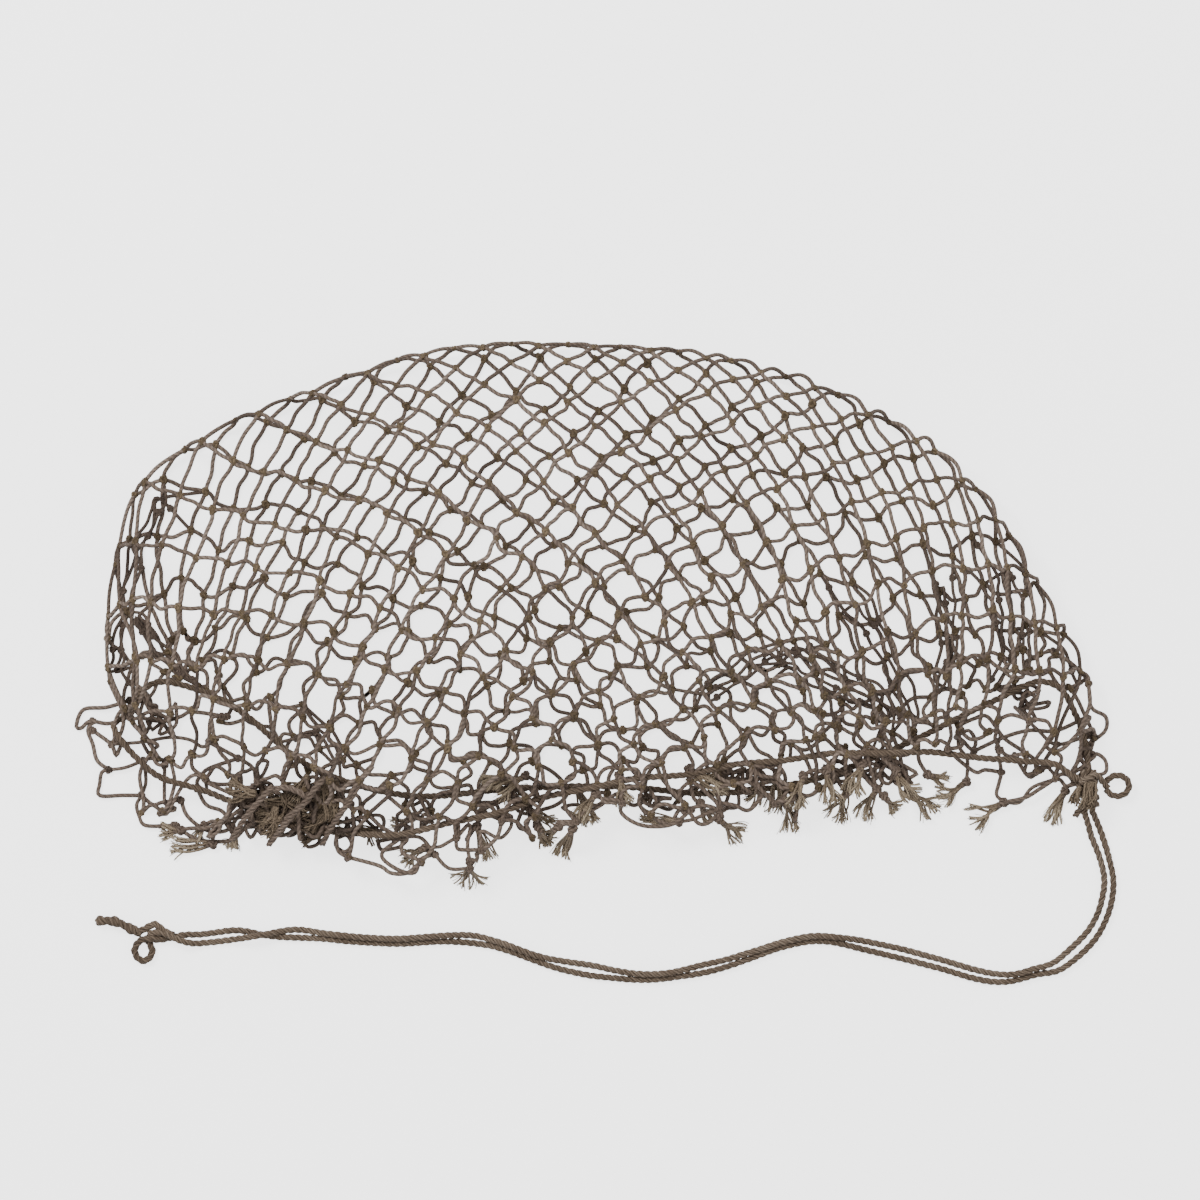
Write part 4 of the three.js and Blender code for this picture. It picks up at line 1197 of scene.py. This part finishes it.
# How far each wave swings, and over what length it does so
FAST_WIGGLE, FAST_OVER = 0.8, 3.1
SLOW_WIGGLE, SLOW_OVER = 1.2, 7.3
UP_OVER = 5.1
# The pleat strands and their knots get dark tones: painted shade, as they lie deep in the lower layer
PLEAT_TWINE, PLEAT_SHADED_TONES = 0.43 * TWINE, (0.08, 0.36)
PLEAT_KNOT, PLEAT_KNOT_TWINE, PLEAT_KNOT_SHADED_TONE = 0.85, 0.68, 0.22
FIRST_KNOT, KNOT_EVERY = (3, 20), 22
under = knots[(knot_j > 0) & tied]


def nearest_knot(spot, taken):
    """The nearest knot of the lower layer that no strand of the pleat is tied to yet."""
    gaps = np.linalg.norm(under - spot, axis=1)
    gaps[taken] = np.inf
    taken.append(int(np.argmin(gaps)))
    return under[taken[-1]]


pleat_bundle = Bundle()
for route, count, first_spread, last_spread in PLEATS:
    middle_line = smooth_line([(x, y, PLEAT_START) for x, y in route], ROPE_STEP)
    level = unit(np.cross(np.gradient(middle_line, axis=0), [0, 0, 1]))
    reach = np.linspace(0, 1, len(middle_line))[:, None]
    spread = first_spread + (last_spread - first_spread) * ease(reach)
    along = distance_along(middle_line[None])[0][:, None]
    first_taken, last_taken = [], []
    for k in range(count):
        beat = chance.uniform(0, 2 * math.pi, 3)
        wiggle = FAST_WIGGLE * np.sin(along / FAST_OVER + beat[0])
        wiggle = wiggle + SLOW_WIGGLE * np.sin(along / SLOW_OVER + beat[1])
        line = middle_line + level * (spread * ((k + 0.5) / count - 0.5) + wiggle)
        line[:, 2] = PLEAT_HEIGHT + PLEAT_WAVE_UP * np.sin(along[:, 0] / UP_OVER + beat[2])
        first_knot, last_knot = nearest_knot(line[0], first_taken), nearest_knot(line[-1], last_taken)
        line = smooth_line([first_knot, *line[6:-6:5], last_knot], ROPE_STEP)
        line[:, 2] = np.maximum(line[:, 2], FLOOR)
        pleat_bundle.add(line[None], PLEAT_TWINE, BAR_SIDES, float(chance.uniform(*PLEAT_SHADED_TONES)))
        for spot in line[int(chance.integers(*FIRST_KNOT)):-3:KNOT_EVERY]:
            knot = loop * PLEAT_KNOT + spot
            pleat_bundle.add(knot[None], PLEAT_KNOT_TWINE, BAR_SIDES, PLEAT_KNOT_SHADED_TONE)
pleats = pleat_bundle.mesh("net_pleats")

# %% [markdown]
# ## Open meshes of the hem
#
# The open meshes beyond the drawcord are what the eye sees first at both ends of the mouth.
# They hang free, so no form says where they lie. Their bars and loops are given as short
# lists of plan points. They lie on the table at the ends, and in the middle they
# hang from the hem. An end that meets no other strand is tied to the nearest knot, if one
# is within reach.

# %% Open meshes at both ends and in the middle
LEFT_STRANDS = [
    [(-204, -36), (-214, -39), (-224, -40), (-227, -47), (-225, -48), (-221, -45), (-213, -46), (-204, -43)],
    [(-220, -45), (-222, -49), (-220, -55), (-218, -62), (-213, -66)],
    [(-213, -66), (-216, -67), (-217, -72), (-217, -77), (-207, -77), (-199, -77)],
    [(-213, -66), (-206, -65), (-198, -62), (-194, -61), (-188, -62)],
    [(-198, -62), (-197, -71), (-199, -77), (-201, -81), (-200, -86), (-197, -90), (-185, -90)],
    [(-189, -64), (-189, -79), (-188, -81), (-184, -83)],
    [(-199, -77), (-194, -81), (-190, -80), (-182, -79)],
    [(-220, -49), (-212, -55), (-210, -60), (-208, -56), (-206, -54)],
    [(-212, -55), (-199, -54), (-187, -52), (-178, -53), (-173, -56), (-170, -54), (-169, -44), (-164, -43)],
    [(-170, -54), (-157, -61), (-151, -65)],
    [(-157, -61), (-169, -65), (-173, -68), (-175, -72), (-171, -75)],
    [(-204, -36), (-199, -43), (-190, -45), (-182, -43), (-177, -41), (-162, -43)],
    [(-199, -31), (-195, -36), (-195, -45), (-198, -51), (-200, -44), (-198, -36)],
    [(-184, -90), (-177, -95), (-168, -97), (-158, -95), (-149, -83)],
    [(-182, -79), (-179, -86), (-171, -92), (-162, -92), (-156, -85)],
    [(-175, -74), (-171, -81), (-164, -84), (-160, -90)],
]
RIGHT_STRANDS = [
    [(160, -58), (173, -52), (184, -49), (196, -49), (210, -43)],
    [(160, -44), (166, -43), (173, -52), (180, -57), (187, -62)],
    [(178, -39), (188, -49), (196, -55), (210, -51)],
    [(196, -55), (192, -60), (189, -66)],
    [(154, -62), (161, -67), (165, -66), (172, -67)],
    [(171, -60), (172, -67), (171, -72), (170, -77), (174, -80)],
    [(174, -80), (180, -80), (185, -74), (192, -71), (197, -70), (200, -73)],
    [(178, -60), (184, -69), (189, -66), (196, -64)],
    [(153, -51), (158, -49), (161, -54), (159, -57), (155, -53), (152, -52)],
    [(211, -39), (217, -43), (217, -49), (211, -54), (208, -57)],
    [(210, -61), (213, -59), (217, -62), (217, -67), (212, -68), (209, -65)],
]
MIDDLE_STRANDS = [
    [(-78, -95), (-72, -102), (-66, -108), (-57, -108)],
    [(-57, -89), (-58, -98), (-57, -105)],
    [(-95, -102), (-89, -108), (-81, -110), (-78, -104), (-72, -102)],
    [(-42, -86), (-39, -89), (-44, -95), (-52, -92)],
    [(6, -76), (-1, -81), (-8, -85), (-12, -89), (-20, -88)],
    [(8, -84), (13, -88), (20, -90), (30, -89), (38, -83)],
    [(35, -83), (44, -81), (51, -84), (50, -88)],
    [(51, -80), (57, -81), (63, -83), (70, -76)],
    [(-115, -98), (-111, -101), (-108, -98), (-110, -94), (-114, -95)],
    [(-130, -94), (-127, -99), (-122, -97), (-124, -92)],
    [(-96, -107), (-91, -110), (-84, -110), (-78, -105)],
]
hand_placed = [np.array(strand, float) for strand in LEFT_STRANDS + RIGHT_STRANDS + MIDDLE_STRANDS]
print("strands placed by hand:", len(hand_placed))

# %% The hem's strands and their knots
MEETS = 4.0
TIE_REACH = 16.0
UNDER_RIM, STEP_UP = 1, 1.2
HEM_KNOT, HEM_KNOT_TWINE, HEM_KNOT_UP = 0.9, 0.7, 0.6
HEM_TONES = (0.4, 0.6)

hem_bundle = Bundle()
net_knots = knots[tied]
for n, strand in enumerate(hand_placed):
    heights = [max(FLOOR, rim_height(x) - UNDER_RIM) for x, _ in strand]
    points = [np.array([x, y, z + STEP_UP * (k % 2)]) for k, ((x, y), z) in enumerate(zip(strand, heights))]
    others = np.concatenate(hand_placed[:n] + hand_placed[n + 1:])
    for at_start, tip in ((True, strand[0]), (False, strand[-1])):
        if np.linalg.norm(others - tip, axis=1).min() < MEETS:
            continue
        gaps = np.linalg.norm(net_knots[:, :2] - tip, axis=1)
        if gaps.min() < TIE_REACH:
            points.insert(0 if at_start else len(points), net_knots[np.argmin(gaps)])
    line = smooth_line(points, ROPE_STEP)
    line[:, 2] = np.maximum(line[:, 2], FLOOR)
    hem_bundle.add(line[None], 0.5 * TWINE, BAR_SIDES, float(chance.uniform(*HEM_TONES)))
    for tip in (line[0], line[-1]):
        knot = loop * HEM_KNOT + tip + [0, 0, HEM_KNOT_UP]
        hem_bundle.add(knot[None], HEM_KNOT_TWINE, BAR_SIDES, KNOT_TONE)
hem_strands = hem_bundle.mesh("hem_strands")

# %% [markdown]
# ## Finishes
#
# Old cotton twine is dull: almost no gloss, and a brown-grey that differs from bar to bar. The
# grooves between the plies are darkened in the colour: painted shade. A picture of twine wrapped
# round each tube would show its seams and repeat. The finish is worked out at every point
# instead, from how far along and how far round the strand it lies. A small class lets the colour
# be written as sums, so that the twist, the wear and the tone of each bar can be read off the code.

# %% Writing materials as sums
class Wire:
    """One output of a node. Sums with it add Math nodes."""

    def __init__(self, finish, socket):
        self.finish, self.socket = finish, socket

    def maths(self, operation, *values):
        return self.finish.node("ShaderNodeMath", {"operation": operation}, dict(enumerate(values)))

    def __add__(self, other):
        return self.maths("ADD", self, other)

    def __sub__(self, other):
        return self.maths("SUBTRACT", self, other)

    def __rsub__(self, other):
        return self.maths("SUBTRACT", other, self)

    def __mul__(self, other):
        return self.maths("MULTIPLY", self, other)

    __radd__, __rmul__ = __add__, __mul__

    def sine(self):
        return self.maths("SINE", self)

    def neighbour(self, place):
        """Another output of the same node."""
        return Wire(self.finish, self.socket.node.outputs[place])


print("a wire can:", [word.strip("_") for word in vars(Wire) if callable(vars(Wire)[word])])

# %% A material, built node by node
DULL_GLOSS = 0.25
BUMP_STRENGTH = 0.7


class Finish:
    """One material, and the ways to add nodes to it."""

    def __init__(self, name, roughness):
        self.material = bpy.data.materials.new(name)
        self.material.use_nodes = True
        self.tree = self.material.node_tree
        self.shader = self.tree.nodes["Principled BSDF"]
        self.shader.inputs["Roughness"].default_value = roughness
        self.shader.inputs["Specular IOR Level"].default_value = DULL_GLOSS

    def join(self, socket, value):
        """Links a wire to a socket, or sets the socket to a plain value."""
        if isinstance(value, Wire):
            self.tree.links.new(value.socket, socket)
        else:
            socket.default_value = value

    def node(self, kind, settings=None, sockets=None, out=0):
        """Any node: its type, its settings, then the values or links of its sockets."""
        made = self.tree.nodes.new(kind)
        for key, value in (settings or {}).items():
            setattr(made, key, value)
        for key, value in (sockets or {}).items():
            self.join(made.inputs[key], value)
        return Wire(self, made.outputs[out])

    def mix(self, mask, one, other):
        """From one colour to the other as the mask goes from 0 to 1."""
        # Of this node, sockets 0, 6 and 7 are the mask and two colours, and output 2 is the colour
        settings = {"data_type": "RGBA", "clamp_factor": True}
        return self.node("ShaderNodeMix", settings, {0: mask, 6: one, 7: other}, 2)

    def noise(self, scale, detail=2.0):
        """Soft spots that stay with the piece: scale is about how many there are in a metre."""
        # Output 3 is the place on the object itself
        spot = self.node("ShaderNodeTexCoord", out=3)
        sockets = {"Vector": spot, "Scale": scale, "Detail": detail}
        return self.node("ShaderNodeTexNoise", {"noise_dimensions": "3D"}, sockets)

    def surface(self, colour, height, depth):
        """Joins the colour and a bump whose full height is the depth in millimetres."""
        self.join(self.shader.inputs["Base Color"], colour)
        sockets = {"Strength": BUMP_STRENGTH, "Distance": depth * MM, "Height": height}
        self.join(self.shader.inputs["Normal"], self.node("ShaderNodeBump", None, sockets))
        return self.material


def light_value(c):
    """What Blender mixes, from a value as read off a screen, 0 to 255."""
    return ((c / 255 + 0.055) / 1.055) ** 2.4 if c > 10 else c / 3294


def paint(red, green, blue):
    """A colour as read off a screen."""
    return tuple(light_value(c) for c in (red, green, blue)) + (1.0,)


print("twine as light:", [round(v, 2) for v in paint(129, 113, 101)])

# %% Yarn
FUZZ_SCALE, FUZZ_DETAIL, WEAR_SCALE = 1400.0, 3.0, 45.0
WEAR_SHARE, FUZZ_SHARE, FUZZ_RISE = 0.7, 0.3, 0.5
GROOVE_DEPTH = 0.28


def yarn(name, colours, plies, lay, groove_shade_strength, roughness):
    """Twisted cotton: plies that wind round the strand, grooves between them darkened by painted shade, and
    soft fuzz.
    """
    dark, middle, light = (paint(*colour) for colour in colours)
    finish = Finish(name, roughness)
    place = finish.node("ShaderNodeUVMap", {"uv_map": "strand"})
    along = finish.node("ShaderNodeSeparateXYZ", None, {0: place})
    around = along.neighbour(1)
    # Output 2 of an attribute is a plain number
    of_tube = {"attribute_name": "tone", "attribute_type": "GEOMETRY"}
    tone = finish.node("ShaderNodeAttribute", of_tube, None, 2)
    phase = around * (2 * math.pi * plies) - along * (2 * math.pi / lay)
    ridge = phase.sine() * 0.5 + 0.5
    fuzz = finish.noise(FUZZ_SCALE, FUZZ_DETAIL)
    wear = finish.noise(WEAR_SCALE)
    level = tone + (wear - 0.5) * WEAR_SHARE + (fuzz - 0.5) * FUZZ_SHARE
    shade = finish.mix(level * 2.0, dark, middle)
    shade = finish.mix(level * 2.0 - 1.0, shade, light)
    # Painted shade: the colour goes towards the dark colour where the ply ridge falls into the grooves
    # between plies
    groove_painted_shade = finish.mix(1 - ridge, shade, dark)
    colour = finish.mix(groove_shade_strength, shade, groove_painted_shade)
    print(name, "nodes:", len(finish.tree.nodes))
    return finish.surface(colour, ridge + fuzz * FUZZ_RISE, GROOVE_DEPTH)


# Dark, middle and light colour, the plies, their lay, how much painted shade darkens the grooves, and the
# roughness
twine_finish = yarn("net_twine", [(80, 68, 60), (129, 113, 101), (162, 145, 132)], 2, 2.6, 0.65, 0.9)
knot_finish = yarn("net_knots", [(76, 63, 48), (128, 111, 88), (164, 146, 121)], 2, 2.6, 0.62, 0.9)
cord_finish = yarn("cord_rope", [(72, 60, 49), (125, 109, 94), (166, 149, 132)], 3, 3.2, 0.7, 0.88)
fray_finish = yarn("frayed_twine", [(90, 77, 64), (148, 131, 111), (198, 181, 156)], 2, 1.8, 0.4, 0.95)

# %% [markdown]
# ## Putting it together
#
# The main pieces take the place of the plain CAD solids, and the small ones lie beside them.
# Each gets its finish and rides on the one body that the part has.

# %% Join the pieces to the frame
FRAY_NODES = [f"frayed_end_{k}" for k in range(1, 13)]
PARTS = [
    (net_upper, twine_finish, "net_twine", ["net"]),
    (net_lower, twine_finish, "net_twine", ["net"]),
    (knots_upper, knot_finish, "net_twine", []),
    (knots_lower, knot_finish, "net_twine", []),
    (drawcord, cord_finish, "cord_rope", ["drawcord"]),
    (mouth_knot, cord_finish, "cord_rope", ["mouth_knot"]),
    (tail_knot, cord_finish, "cord_rope", ["tail_knot"]),
    (tail_inner, cord_finish, "cord_rope", []),
    (tail_outer, cord_finish, "cord_rope", []),
    (tangle, twine_finish, "net_twine", ["hem_tangle"]),
    (loops, twine_finish, "net_twine", []),
    (hem_strands, twine_finish, "net_twine", []),
    (pleats, twine_finish, "net_twine", []),
    (frays, fray_finish, "frayed_twine", FRAY_NODES),
    (fray_heads, twine_finish, "net_twine", []),
]
for piece, finish, slot, nodes in PARTS:
    piece.data.materials.append(finish)
    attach(piece, "root")
    if nodes:
        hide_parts(*nodes)

print("pieces:", len(PARTS))

# %% [markdown]
# ## The table and the light
#
# The net lies on a plain white surface. Large soft lamps all round would leave almost no
# shadow, as on a photographer's light table, so that the twine stands out dark and clear.
# Here the surface itself glows white, a white world lights from all sides, and two wide
# lamps give the twine a lighter side. Sizes and places are in metres in these two cells.

# %% Table
TABLE_SIZE = 40.0
TABLE_GLOW = 2.4


def table_top(half):
    """A plain white square that glows, and throws no light back on the net."""
    mesh = bpy.data.meshes.new("table")
    corners = [(-half, -half, 0), (half, -half, 0), (half, half, 0), (-half, half, 0)]
    mesh.from_pydata(corners, [], [(0, 1, 2, 3)])
    top = bpy.data.objects.new("table", mesh)
    bpy.context.scene.collection.objects.link(top)
    white = Finish("table_white", 0.9)
    white.join(white.shader.inputs["Base Color"], paint(250, 250, 250))
    white.join(white.shader.inputs["Emission Color"], (1, 1, 1, 1))
    white.join(white.shader.inputs["Emission Strength"], TABLE_GLOW)
    mesh.materials.append(white.material)
    top.visible_diffuse = False


table_top(TABLE_SIZE / 2)
print("table, metres:", TABLE_SIZE)

# %% Light
WORLD_STRENGTH = 0.55
# Each lamp is its place, the width of its square, and its power in watts
LAMPS = {
    "lamp_left": ((-0.9, 0.9, 1.5), 0.7, 26),
    "lamp_right": ((1.2, 0.1, 1.5), 1.2, 8),
}


def soft_lamp(name, place, size, power):
    """A square lamp that points at the middle of the net."""
    lamp = bpy.data.lights.new(name, "AREA")
    lamp.size, lamp.energy = size, power
    made = bpy.data.objects.new(name, lamp)
    made.location = place
    bpy.context.scene.collection.objects.link(made)
    track = made.constraints.new("TRACK_TO")
    track.target = lamp_target


lamp_target = bpy.data.objects.new("lamp_target", None)
bpy.context.scene.collection.objects.link(lamp_target)
for name, (place, size, power) in LAMPS.items():
    soft_lamp(name, place, size, power)
world = bpy.context.scene.world or bpy.data.worlds.new("world")
bpy.context.scene.world = world
world.use_nodes = True
world.node_tree.nodes["Background"].inputs["Color"].default_value = (1, 1, 1, 1)
world.node_tree.nodes["Background"].inputs["Strength"].default_value = WORLD_STRENGTH
print("lamps:", list(LAMPS))
